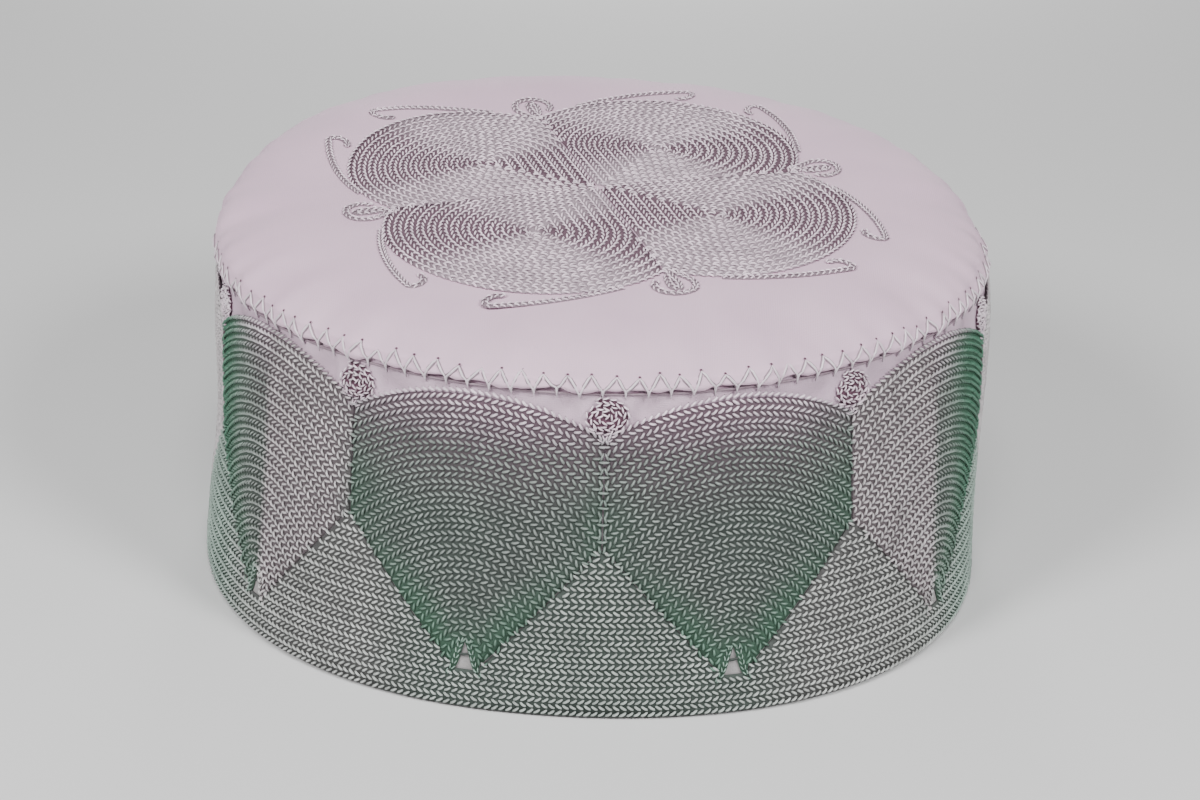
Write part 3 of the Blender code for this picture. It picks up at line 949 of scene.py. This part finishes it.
# %% A fan's rows
def fan_lines(number):
    middle = fan_middle(number)
    lines = []
    for radius in np.arange(FAN_RADIUS - ROW / 2.0 + 0.0002, ROW, -ROW):
        turn = np.linspace(-2.6, 2.6, int(5.2 * radius / POINT_SPACING))
        crest = np.where(np.abs(turn) < np.pi / 6.0, 0.018 * np.cos(3.0 * turn), 0.0)
        reach = radius * (1.0 + crest)
        across, height = reach * np.sin(turn), FAN_CENTRE + reach * np.cos(turn)
        side = np.abs(across)
        clear = side > notch_edge(height) + NOTCH_TRIM + 0.0006
        beside_notch = (side < FAN_FOOT_HALF) & (height > FAN_FOOT) & clear
        inside = (side < SHEET_HALF + 0.0002) & ((height > fan_lower_edge(across) + EDGE) | beside_notch)
        for u, v in runs(inside, middle + across, height):
            lines.append((u, v) if number % 2 else (u[::-1], v[::-1]))
    return lines


print("Rows in one fan, with those that the notch cuts in two:", len(fan_lines(0)))


# %% A fan's tones
def seen(across):
    """1 on the half of the band that faces front, falling to 0 behind. Painted reflection and sheen keep to
    it.
    """
    return ease((np.cos(across / SHEET_RADIUS) + 0.25) / 0.35)


def fan_green(across, height):
    """Greenest at the tip and lower edges, and on the side facing away from the front, there a painted
    reflection.
    """
    side = joint_offset(across + SHEET_HALF)
    above = height - fan_lower_edge(side)
    low = (1.0 - ease((above - 0.0030) / 0.0135)) * ease((0.046 - height) / 0.029)
    low *= 0.68 - 0.40 * hump(side, 0.0042) * ease((height - 0.0150) / 0.0040)
    joint = 0.28 * hump(SHEET_HALF - np.abs(side), 0.0080) * ease((0.060 - height) / 0.012)
    outward = np.sin(across / SHEET_RADIUS)
    away = ease(0.5 + np.sign(outward) * side / SHEET_HALF) * ease((0.077 - height) / 0.010)
    sideways = 0.08 + 0.27 * ease((np.abs(outward) - 0.45) / 0.30)
    sideways = sideways + 0.65 * ease((np.abs(outward) - 0.81) / 0.11)
    return np.maximum(low, joint) + sideways * away * seen(across)


def fan_painted_sheen(across, height):
    """Painted sheen: the half of a side fan turned to the front is drawn pale, as its rows run across the
    light.
    """
    outward = np.sin(across / SHEET_RADIUS)
    inner = ease(0.5 - 6.0 * np.sign(outward) * joint_offset(across + SHEET_HALF) / SHEET_HALF)
    inner *= ease((np.abs(outward) - 0.50) / 0.12)
    outer = ease((np.abs(outward) - 0.68) / 0.10) * (1.0 - ease((np.abs(outward) - 0.86) / 0.07))
    return np.maximum(inner, 0.22 * outer) * seen(across)


print("Green at the tip of the front's right fan:", round(float(fan_green(fan_middle(0), FAN_FOOT)), 2))

# %% Sew the fans
fan_total = 0
for number in range(FAN_COUNT):
    name = f"fan_{number + 1:02d}"
    stitches = sewn(name + "_rows", fan_lines(number), band_skin, fan_thread, seed=10 + number)
    side = np.concatenate((np.linspace(0.0, 0.0039, 14), np.linspace(0.0050, SHEET_HALF - 0.0002, 17)))
    across = np.concatenate((-side[:0:-1], side))[None, :]
    share = np.linspace(0.0, 1.0, 21)[:, None]
    low = np.where(np.abs(across) < NOTCH_HALF, notch_side(across), fan_lower_edge(across)) + 0.0003
    high = fan_upper_edge(across) - 0.0004
    grid_height = low + (high - low) * share
    grid_across = np.broadcast_to(fan_middle(number) + across, grid_height.shape)
    bed = bed_mesh(name + "_bed", grid_across, grid_height, band_skin, band_hollow)
    trim = sewn(
        name + "_trim", notch_lines(number), band_skin, ground_thread, 40 + number, NOTCH_SIZE, NOTCH_STITCH
    )
    shares = (("green_share", fan_green), ("pale_share", fan_painted_sheen))
    fan_total += field(name + "_rows", [stitches, bed, trim], name, shares)
print("Fans:", fan_total, "faces")

# %% [markdown]
# ## Ground
# Below and between the fans the rows run level round the whole cap, 2.8 mm apart, up to the fans' lower
# edges. They leave a small bare notch under each tip. The ground is sewn as a front half and a back half,
# so that neither mesh grows too large.

# %% The ground's rows and bed
GROUND_ROW = 0.00278
GROUND_START = 0.0020


def in_ground(across, height):
    side = np.abs(joint_offset(across + SHEET_HALF))
    below = height < fan_lower_edge(side) - EDGE
    in_notch = (side < notch_edge(height) + 0.0010) & (height > NOTCH_BASE)
    return below & ~in_notch


def ground_lines(start, end):
    lines = []
    across = np.linspace(start, end, int((end - start) / POINT_SPACING))
    for height in np.arange(GROUND_START, FAN_CORNER, GROUND_ROW):
        lines += runs(in_ground(across, height), across, np.full_like(across, height))
    return lines


def ground_bed(start, end):
    columns = np.linspace(start, end, 481)
    side = np.abs(joint_offset(columns + SHEET_HALF))
    high = np.where(side < NOTCH_HALF, NOTCH_BASE + 0.0013, fan_lower_edge(side) - 0.0003)[None, :]
    share = np.linspace(0.0, 1.0, 9)[:, None]
    height = 0.0006 + (high - 0.0006) * share
    return np.broadcast_to(columns[None, :], height.shape), height


print("Ground rows are, mm apart:", 1000 * GROUND_ROW)


# %% Sew the ground
# A faint green everywhere, more towards the left and right sides, where it is a painted green reflection.
def ground_green(across, height):
    outward = np.abs(np.sin(across / SHEET_RADIUS))
    return 0.08 + 0.45 * ease((outward - 0.70) / 0.25)


# A painted sheen part way round each side of the ground.
def ground_painted_sheen(across, height):
    outward = np.abs(np.sin(across / SHEET_RADIUS))
    return 0.42 * ease((outward - 0.34) / 0.20) * (1.0 - ease((outward - 0.80) / 0.12))


quarter = ROUND / 4.0
shares = (("green_share", ground_green), ("pale_share", ground_painted_sheen))
for half, start, end, seed in (("front", -quarter, quarter, 31), ("back", quarter, 3.0 * quarter, 32)):
    name = f"ground_{half}_rows"
    lines = ground_lines(start + STITCH / 2.0, end - STITCH / 2.0)
    stitches = sewn(name, lines, band_skin, ground_thread, seed)
    bed = bed_mesh(f"ground_{half}_bed", *ground_bed(start, end), band_skin, band_hollow)
    faces = field(name, [stitches, bed], "embroidered_ground", shares)
    print("Ground,", half, "half:", faces, "faces")

# %% [markdown]
# ## Rosette
# The rosette has four lobes. Inside a lobe the rows run round a point on its axis, three quarters of a
# circle, and then straight towards the middle of the cap, where the two straight stretches meet in a
# corner on the axis. The outer rows are cut off by the diagonals between lobes. Rows that run from left to
# right shine and hide the holes between them, and rows that run to the back show them. This shine is a
# painted sheen: the shade between left-to-right rows is drawn paler.

# %% A lobe's rows
LOBE_COUNT = 4
LOBE_AXIS = np.radians(63.0)
LOBE_CENTRE = 0.0305
LOBE_RADIUS = 0.0337
ROSETTE_ROW = 0.0025
ROSETTE_STITCH = 0.0020
ROSETTE_SIZE = (1.12, 0.76, 0.80)
ROSETTE_BED = 0.00022


def lobe_axis(number):
    return LOBE_AXIS + number * 2.0 * np.pi / LOBE_COUNT


def lobe_point(number, out, side):
    """From a lobe's own coordinates, along its axis and across it, to the crown's."""
    axis = lobe_axis(number)
    return out * np.cos(axis) - side * np.sin(axis), out * np.sin(axis) + side * np.cos(axis)


def lobe_lines(number):
    lines = []
    for step in range(-7, 6):
        radius = LOBE_CENTRE / np.sqrt(2.0) + (step - 0.5) * ROSETTE_ROW
        turn = np.linspace(0.75 * np.pi, -0.75 * np.pi, int(1.5 * np.pi * radius / POINT_SPACING))
        reach = radius * (1.0 - 0.05 * np.cos(2.0 * turn))
        arc = np.stack([LOBE_CENTRE + reach * np.cos(turn), reach * np.sin(turn)], -1)
        corner = np.array([[LOBE_CENTRE - np.sqrt(2.0) * radius, 0.0]])
        steps = np.linspace(0.0, 1.0, max(int(radius / POINT_SPACING), 2))[1:, None]
        leg_in = corner + (arc[:1] - corner) * steps
        leg_out = arc[-1:] + (corner - arc[-1:]) * steps * (1.0 - 0.4 * ROSETTE_STITCH / radius)
        path = np.concatenate((leg_in, arc, leg_out))
        inside = np.abs(path[:, 1]) < path[:, 0] - 0.0002
        for out, side in runs(inside, path[:, 0], path[:, 1]):
            lines.append(lobe_point(number, out, side))
    across_centre = np.linspace(-0.0016, 0.0016, 12)
    lines.append(lobe_point(number, LOBE_CENTRE + across_centre, 0.0 * across_centre))
    return lines


print("Rows in one lobe, with those that the diagonals cut in two:", len(lobe_lines(0)))


# %% Sew the rosette
def crown_plan(points):
    return points[:, 0], points[:, 1]


def rosette_painted_sheen(x, y):
    """Painted sheen: how pale the thread is drawn, by the direction that the row runs in there."""
    turn = np.arctan2(y, x) - LOBE_AXIS
    quarter_turn = 2.0 * np.pi / LOBE_COUNT
    axis = LOBE_AXIS + np.round(turn / quarter_turn) * quarter_turn
    from_x, from_y = x - LOBE_CENTRE * np.cos(axis), y - LOBE_CENTRE * np.sin(axis)
    steep = np.abs(from_y) / np.maximum(np.hypot(from_x, from_y), 0.0001)
    return 0.85 * ease((steep - 0.45) / 0.40)


rosette_total = 0
for number in range(LOBE_COUNT):
    name = f"rosette_lobe_{number + 1:02d}"
    stitches = sewn(
        name + "_rows", lobe_lines(number), crown_skin, rosette_thread, 50 + number, ROSETTE_SIZE,
        ROSETTE_STITCH, ROSETTE_BED,
    )
    turn = np.linspace(-np.pi / 4.0, np.pi / 4.0, 33)[None, :]
    far = LOBE_CENTRE * np.cos(turn) + LOBE_RADIUS
    for closer in range(6):  # the edge's radius depends on its own angle, so it is found in a few rounds
        about = np.arctan2(far * np.sin(turn), far * np.cos(turn) - LOBE_CENTRE)
        edge = (LOBE_RADIUS - 0.0003) * (1.0 - 0.05 * np.cos(2.0 * about))
        far = LOBE_CENTRE * np.cos(turn) + np.sqrt(edge ** 2 - (LOBE_CENTRE * np.sin(turn)) ** 2)
    radius = 0.0012 + (far - 0.0012) * np.linspace(0.0, 1.0, 25)[:, None]
    grid_x, grid_y = lobe_point(number, radius * np.cos(turn) + 0.0003, radius * np.sin(turn))
    bed = bed_mesh(name + "_bed", grid_x, grid_y, crown_skin, rosette_hollow, ROSETTE_BED)
    shares = (("pale_share", rosette_painted_sheen),)
    rosette_total += field(name + "_rows", [stitches, bed], name, shares, crown_plan)
print("Rosette:", rosette_total, "faces")

# %% [markdown]
# ## Curls and tails
# A single row of smaller stitches is drawn free of the lobes in two places. At each notch it makes a curl:
# out, round like a hook, with a narrow loop inside. At the outside of each lobe the last row lifts off in a
# long tail that ends in a small hook near the tip.

# %% Sizes of the curls and tails
FINE_SIZE = (0.80, 0.62, 0.75)
FINE_STITCH = 0.00150
CURL_CENTRE = 0.0558
CHAIN = 0.0011
TAIL_SPREAD = 0.0046
TAIL_HOOK = 0.0024
FINE_BED_HALF = 0.0008
print("A tail swings out past the lobe's mean radius by, mm:", round(1000 * (CHAIN + TAIL_SPREAD), 1))


# %% Routes of the curls and tails
def smooth_line(points):
    """A smooth line through a few points, by Catmull and Rom's rule."""
    points = np.asarray(points, float)
    padded = np.concatenate((2 * points[:1] - points[1:2], points, 2 * points[-1:] - points[-2:-1]))
    parts = []
    for a, b, c, d in zip(padded, padded[1:], padded[2:], padded[3:]):
        t = np.linspace(0.0, 1.0, max(int(np.linalg.norm(c - b) / POINT_SPACING), 2), endpoint=False)[:, None]
        parts.append(0.5 * (2 * b + (c - a) * t + (2 * a - 5 * b + 4 * c - d) * t ** 2
                            + (3 * b - a - 3 * c + d) * t ** 3))
    return np.concatenate(parts + [points[-1:]])


def curl_lines(number):
    """An open hook outside the notch between two lobes, with a narrow loop inside it."""
    turn = lobe_axis(number + 0.5)
    out, side = np.array([np.cos(turn), np.sin(turn)]), np.array([-np.sin(turn), np.cos(turn)])
    hook = [(-7.4, 1.2), (-4.4, 2.6), (-0.5, 4.6), (3.2, 3.6), (4.6, 0.2), (3.6, -3.2), (0.6, -4.6)]
    hook.append((-1.8, -3.6))
    loop = [(-6.6, 0.2), (-3.2, 0.7), (0.2, 1.0), (2.4, 0.4), (1.6, -0.9), (-1.4, -0.9), (-3.8, -0.4)]
    lines = []
    for points in (hook, loop):
        line = smooth_line([out * (CURL_CENTRE + 0.001 * u) + side * 0.001 * v for u, v in points])
        lines.append((line[:, 0], line[:, 1]))
    return lines


def tail_line(number, hand):
    """The CAD tail's route, spread a little wider, with an open hook at its end."""
    axis = lobe_axis(number)
    centre = np.array([np.cos(axis), np.sin(axis)]) * LOBE_CENTRE
    share = np.linspace(0.0, 1.0, 6)
    turn = axis + hand * (np.radians(62.0) - np.radians(46.0) * share)
    reach = LOBE_RADIUS + CHAIN + TAIL_SPREAD * share ** 2
    route = centre + np.stack([np.cos(turn), np.sin(turn)], -1) * reach[:, None]
    onward, inward = unit(route[-1] - route[-2]), unit(centre - route[-1])
    hook = [route[-1] + (onward * np.sin(a) + inward * (1.0 - np.cos(a))) * TAIL_HOOK
            for a in np.radians((40.0, 80.0, 120.0, 160.0, 205.0))]
    line = smooth_line(np.concatenate((route, hook)))
    return line[:, 0], line[:, 1]


print("A tail is, mm long:", round(1000 * float(walked(np.stack(tail_line(0, 1.0), -1))[-1]), 1))


# %% Sew the curls and tails
# The curls and tails get half of the painted sheen all along.
def half_painted_sheen(x, y):
    return np.full_like(x, 0.5)


def fine_row(name, lines, seed):
    """A piece with one row of fine stitches along each line, on a narrow bed."""
    meshes = [sewn(name, lines, crown_skin, rosette_thread, seed, FINE_SIZE, FINE_STITCH, ROSETTE_BED)]
    for line in lines:
        meshes.append(ribbon_bed(name, line, crown_skin, FINE_BED_HALF, rosette_hollow, ROSETTE_BED))
    field(name + "_row", meshes, name, (("pale_share", half_painted_sheen),), crown_plan)


for number in range(LOBE_COUNT):
    fine_row(f"rosette_curl_{number + 1:02d}", curl_lines(number), 70 + number)
    for hand, side in ((1.0, "left"), (-1.0, "right")):
        fine_row(f"rosette_tail_{number + 1:02d}_{side}", [tail_line(number, hand)], 80 + number)
print("Curls and tails sewn with stitches of, mm:", 1000 * FINE_STITCH)

# %% [markdown]
# ## Knots
# Above each joint the machine winds one row into a tight spiral of about two turns, then runs down into the
# joint. The spiral is a line on the flat layout, a little wider than high, sewn with narrower stitches.

# %% Sew the knots
KNOT_SIZE = (0.98, 0.60, 1.00)
KNOT_STITCH = 0.00150
KNOT_TURNS = 2.3
KNOT_WIDER, KNOT_HIGHER = 1.42, 1.08
KNOT_REACH = 0.0030
KNOT_BED = 0.0004


def knot_point(middle, turn, reach):
    return middle + reach * np.cos(turn) * KNOT_WIDER, KNOT_HEIGHT + reach * np.sin(turn) * KNOT_HIGHER


def knot_lines(middle):
    """A spiral about the knot's middle, and two short rows down to the joint."""
    turn = np.linspace(0.0, 2.0 * np.pi * KNOT_TURNS, 500)
    lines = [knot_point(middle, turn, 0.0006 + KNOT_REACH * turn / turn[-1])]
    down = np.linspace(0.0, 1.0, 20)
    for start, end in ((-0.0027, -0.0006), (0.0027, 0.0006)):
        lines.append((middle + start + (end - start) * down, KNOT_HEIGHT - 0.0026 - 0.0022 * down))
    return lines


for number in range(FAN_COUNT):
    name = f"spiral_knot_{number + 1:02d}"
    middle = fan_middle(number - 0.5)
    stitches = sewn(
        name, knot_lines(middle), band_skin, knot_thread, 90 + number, KNOT_SIZE, KNOT_STITCH, KNOT_BED
    )
    turn = 2.0 * np.pi * (KNOT_TURNS - 1.0 + np.linspace(0.0, 1.0, 25)[None, :])
    outermost = 0.0008 + KNOT_REACH * turn / (2.0 * np.pi * KNOT_TURNS)
    disc = knot_point(middle, turn, outermost * np.array([0.05, 0.55, 1.0])[:, None])
    bed = bed_mesh(name, *disc, band_skin, knot_hollow, KNOT_BED)
    field(name + "_rows", [stitches, bed], name)
print("Knots:", FAN_COUNT)

# %% [markdown]
# ## Topstitch
# A zigzag holds the crown's rolled edge down on the band: up 3.6 mm onto the crown, down across the seam
# into the band, 118 times round. Each thread is a line that lies on the cloth, so a second small tree
# sweeps a round profile along it. The thread presses the cloth, and a wider tube of painted shade is sunk
# under it to darken the cloth beside it; one more follows the seam under the lip as a painted shadow. A
# dark needle hole sits at each upper point. The same tree lays the short thread that crosses each bare
# notch, drawn in painted shade.

# %% Sizes of the topstitch
ZIGZAG_RISE = 0.0036
ZIGZAG_DROP = 0.0014
ZIGZAG_THREAD = 0.00025
# Thickness of the tube of painted shade under the thread.
GROOVE_SHADE_THICKNESS = 0.0005
# How far the thread's line lies above the cloth, and the line of painted shade below it.
ON_LEG, AT_TIP, IN_BAND = (0.00022, 0.00018), (0.00002, 0.00028), (0.0001, 0.0015)
# The tube of painted shade under the lip: its thickness, and how far below the seam and out it lies.
LIP_SHADE_THICKNESS = 0.00028
LIP_SHADE_DROP, LIP_SHADE_LIFT = 0.0004, 0.00015
HOLE = 0.0003
HOLE_CORNERS = 8
HOLE_LIFT, HOLE_BEYOND_TIP = 0.00014, 0.00042
CROSSING_HALF = 0.0011
CROSSING_HEIGHTS = (0.0128, 0.0131)
CROSSING_THREAD = 0.00028
print("Zigzag thread, mm thick:", 2000 * ZIGZAG_THREAD)


# %% A tree that lays thread
def thread_tree():
    tree, given = new_tree("lay thread along a line", (
        ("Line", "Geometry"),
        ("Thickness", "Float"),
        ("Thread", "Material"),
    ))
    curve = add(tree, "GeometryNodeMeshToCurve", {"Mesh": given["Line"]})
    circle = {"Resolution": 6, "Radius": given["Thickness"]}
    section = add(tree, "GeometryNodeCurvePrimitiveCircle", circle, mode="RADIUS")
    route = {"Curve": curve, "Profile Curve": section, "Fill Caps": True}
    swept = add(tree, "GeometryNodeCurveToMesh", route)
    return end_tree(tree, swept, given["Thread"])


laying = thread_tree()


def laid(name, points, edges, thickness, thread):
    """Thread laid along edges between points, as a mesh."""
    mesh = bpy.data.meshes.new("line")
    mesh.from_pydata(np.array(points, float).tolist(), edges, [])
    return grown(name, mesh, laying, thickness=thickness, thread=thread)


def ring(count):
    """Edges that join points one after the other and close the round."""
    return [(i, (i + 1) % count) for i in range(count)]


print("Laying tree:", len(laying.nodes), "nodes")


# %% The zigzag's line
def shoulder_point(angle, rise):
    """A point on the crown's cloth at an angle, a distance up from its lip, and the direction out of it."""
    profile = crown_profile()[2:]
    line = crown_turned(angle, profile[:, 0], profile[:, 1])
    length = walked(line)
    place = np.array([np.interp(rise, length, line[:, i]) for i in range(3)])
    ahead = np.array([np.interp(rise + 0.0004, length, line[:, i]) for i in range(3)]) - place
    around = np.array([np.cos(angle), np.sin(angle), 0.0])
    normal = unit(np.cross(around, ahead))
    return place + normal * float(shoulder_waves(angle, rise)), normal


def zigzag_points():
    """The thread's line round the seam, the line of painted shade under it, and its upper points."""
    line, sunk, tips = [], [], []

    def lay(point, normal, above, below):
        line.append(point + normal * above)
        sunk.append(point - normal * below)

    for stitch in range(ZIGZAGS):
        low_angle = 2.0 * np.pi * (stitch - 0.5) / ZIGZAGS
        tip_angle = 2.0 * np.pi * stitch / ZIGZAGS + 0.007 * np.sin(7.3 * stitch)
        next_angle = 2.0 * np.pi * (stitch + 0.5) / ZIGZAGS
        rise = ZIGZAG_RISE * (1.0 + 0.10 * np.sin(2.9 * stitch) + 0.06 * np.sin(5.1 * stitch))
        across, height = np.array(low_angle * SHEET_RADIUS), np.array(SEAM_HEIGHT - ZIGZAG_DROP)
        drop, outward = with_normal(band_skin, across, height)
        lay(drop, outward, *IN_BAND)
        legs = ((low_angle, tip_angle, (0.06, 0.4, 0.75)), (tip_angle, next_angle, (0.75, 0.4, 0.06)))
        for index, (start, end, shares) in enumerate(legs):
            for share in shares:
                way = share if index == 0 else 1.0 - share
                lay(*shoulder_point(start + (end - start) * way, rise * share), *ON_LEG)
            if index == 0:
                tip, normal = shoulder_point(tip_angle, rise)
                lay(tip, normal, *AT_TIP)
                tips.append((Vector(tip), Vector(normal)))
    return line, sunk, tips


zigzag_line, zigzag_sunk, zigzag_tips = zigzag_points()
print("Points on the zigzag's line:", len(zigzag_line))


# %% Needle holes and cross threads
def needle_holes(tips):
    """A small dark flat hole just beyond each upper point of the zigzag."""
    points, faces = [], []
    for tip, normal in tips:
        around = Vector((-tip.y, tip.x, 0.0)).normalized()
        upward = normal.cross(around).normalized()
        middle = tip + normal * HOLE_LIFT + upward * np.sign(upward.z) * HOLE_BEYOND_TIP
        faces.append(tuple(range(len(points), len(points) + HOLE_CORNERS)))
        for corner in range(HOLE_CORNERS):
            turn = 2.0 * np.pi * corner / HOLE_CORNERS
            points.append(middle + (around * np.cos(turn) + upward * np.sin(turn)) * HOLE)
    mesh = bpy.data.meshes.new("needle_holes")
    mesh.from_pydata(points, [], faces)
    mesh.materials.append(knot_hollow)
    return mesh


def cross_threads():
    """Points and edges of a short thread that arches across each bare notch."""
    points, edges = [], []
    for number in range(FAN_COUNT):
        across = np.linspace(-CROSSING_HALF, CROSSING_HALF, 9)
        arch = 0.0003 + 0.0002 * np.cos(across / CROSSING_HALF * np.pi / 2.0)
        height = np.linspace(*CROSSING_HEIGHTS, 9)
        point, normal = with_normal(band_skin, fan_middle(number) + across, height)
        edges += [(len(points) + i, len(points) + i + 1) for i in range(8)]
        points += list(point + normal * arch[:, None])
    return points, edges


print("Points on the cross threads:", len(cross_threads()[0]))

# %% Sew the topstitch
loop = ring(len(zigzag_line))
topstitch = laid("seam_topstitch", zigzag_line, loop, ZIGZAG_THREAD, seam_thread)
topstitch.uv_layers.new(name="leg")
# A wider tube of painted shade, sunk under the thread, darkens the cloth beside it.
groove_shade = laid("pressed cloth", zigzag_sunk, loop, GROOVE_SHADE_THICKNESS, thread_shade)
# A thin tube of painted shade follows the seam under the crown's lip.
across = np.linspace(0.0, ROUND, 4 * ZIGZAGS, endpoint=False)
point, normal = with_normal(band_skin, across, np.full_like(across, SEAM_HEIGHT - LIP_SHADE_DROP))
point += normal * LIP_SHADE_LIFT
lip_shade_line = laid("seam line", point, ring(len(across)), LIP_SHADE_THICKNESS, thread_shade)
topstitch = joined("seam_topstitch", [topstitch, groove_shade, lip_shade_line])
finished("seam_topstitch", topstitch, [])
finished("needle_holes", needle_holes(zigzag_tips), [])
# The thread across each notch is drawn in the band's painted shade.
crossing = laid("notch_cross_threads", *cross_threads(), CROSSING_THREAD, band_hollow)
finished("notch_cross_threads", crossing, [])
print("Topstitch:", ZIGZAGS, "zigzags,", len(topstitch.polygons), "faces")

# %% [markdown]
# ## Floor, light and camera
# The cap stands on a plain pale floor. Two soft lights in front, at the left and the right, keep the band
# even. A third, high in front, lifts the crown, and a weak low one behind keeps the back from going dark.
# The camera has the photograph's own angle, found by fitting the seam and the hem to the picture.

# %% Stage
floor_mesh = bpy.data.meshes.new("floor")
floor_mesh.from_pydata([(-4, -4, 0), (4, -4, 0), (4, 4, 0), (-4, 4, 0)], [], [(0, 1, 2, 3)])
floor = bpy.data.objects.new("floor", floor_mesh)
bpy.context.scene.collection.objects.link(floor)
# Matt card: pale and even, so that it takes a soft shadow and shows no shine.
card, card_tree, card_shader = new_material("matt pale studio floor")
feed(card_tree, card_shader, {"Base Color": linear("dcdcdc"), "Roughness": 0.9})
floor_mesh.materials.append(card)
print("Floor, m wide:", floor.dimensions.x)

# %% Lights
SOFTBOX = 0.30
for name, place, aim, watts in (
    ("left softbox", (-0.62, -0.66, 0.74), (0.0, 0.0, 0.05), 9.9),
    ("right softbox", (0.62, -0.66, 0.74), (0.0, 0.0, 0.05), 9.3),
    ("back softbox", (0.0, 1.00, 0.26), (0.0, 0.0, 0.04), 4.2),
    ("top softbox", (0.0, -0.50, 0.80), (0.0, -0.06, 0.05), 3.5),
):
    light = bpy.data.lights.new(name, "AREA")
    light.shape = "DISK"
    light.size = SOFTBOX
    light.energy = watts
    lamp = bpy.data.objects.new(name, light)
    lamp.location = place
    lamp.rotation_mode = "QUATERNION"
    lamp.rotation_quaternion = (Vector(aim) - Vector(place)).to_track_quat("-Z", "Y")
    bpy.context.scene.collection.objects.link(lamp)
world = bpy.data.worlds.new("studio")
bpy.context.scene.world = world
world.use_nodes = True
sky = world.node_tree.nodes["Background"]
sky.inputs["Color"].default_value = linear("ececec")
sky.inputs["Strength"].default_value = 0.22

# %% Camera
TILT = np.radians(23.532)
ROLL = np.radians(-1.664)
DISTANCE = 7.0 * SEAM_RADIUS
LENS = 76.155
back = Vector((0.0, -np.cos(TILT), np.sin(TILT)))
up = Vector((0.0, np.sin(TILT), np.cos(TILT)))
right = Vector((1.0, 0.0, 0.0))
place = Vector((0.0, 0.0, 0.4 * SEAM_RADIUS)) + back * DISTANCE
place += right * 0.021 * SEAM_RADIUS - up * 0.010 * SEAM_RADIUS
rolled_right = right * np.cos(ROLL) - up * np.sin(ROLL)
rolled_up = right * np.sin(ROLL) + up * np.cos(ROLL)
camera_data = bpy.data.cameras.new("camera")
camera_data.sensor_width = 36.0
camera_data.lens = LENS
camera_data.clip_start = 0.01
camera = bpy.data.objects.new("camera", camera_data)
camera.matrix_world = Matrix((
    (rolled_right.x, rolled_up.x, back.x, place.x),
    (rolled_right.y, rolled_up.y, back.y, place.y),
    (rolled_right.z, rolled_up.z, back.z, place.z),
    (0.0, 0.0, 0.0, 1.0),
))
bpy.context.scene.collection.objects.link(camera)
bpy.context.scene.camera = camera
print("Camera stands, mm from the cap's middle:", round(1000 * DISTANCE))

# %% Sizes, and the end
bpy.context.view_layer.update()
shown = 0
for thing in bpy.context.scene.objects:
    if thing.type == "MESH" and not thing.hide_render:
        shown += sum(len(face.vertices) - 2 for face in thing.data.polygons)
print("Triangles, before the crown's cloth gets its thickness:", shown)
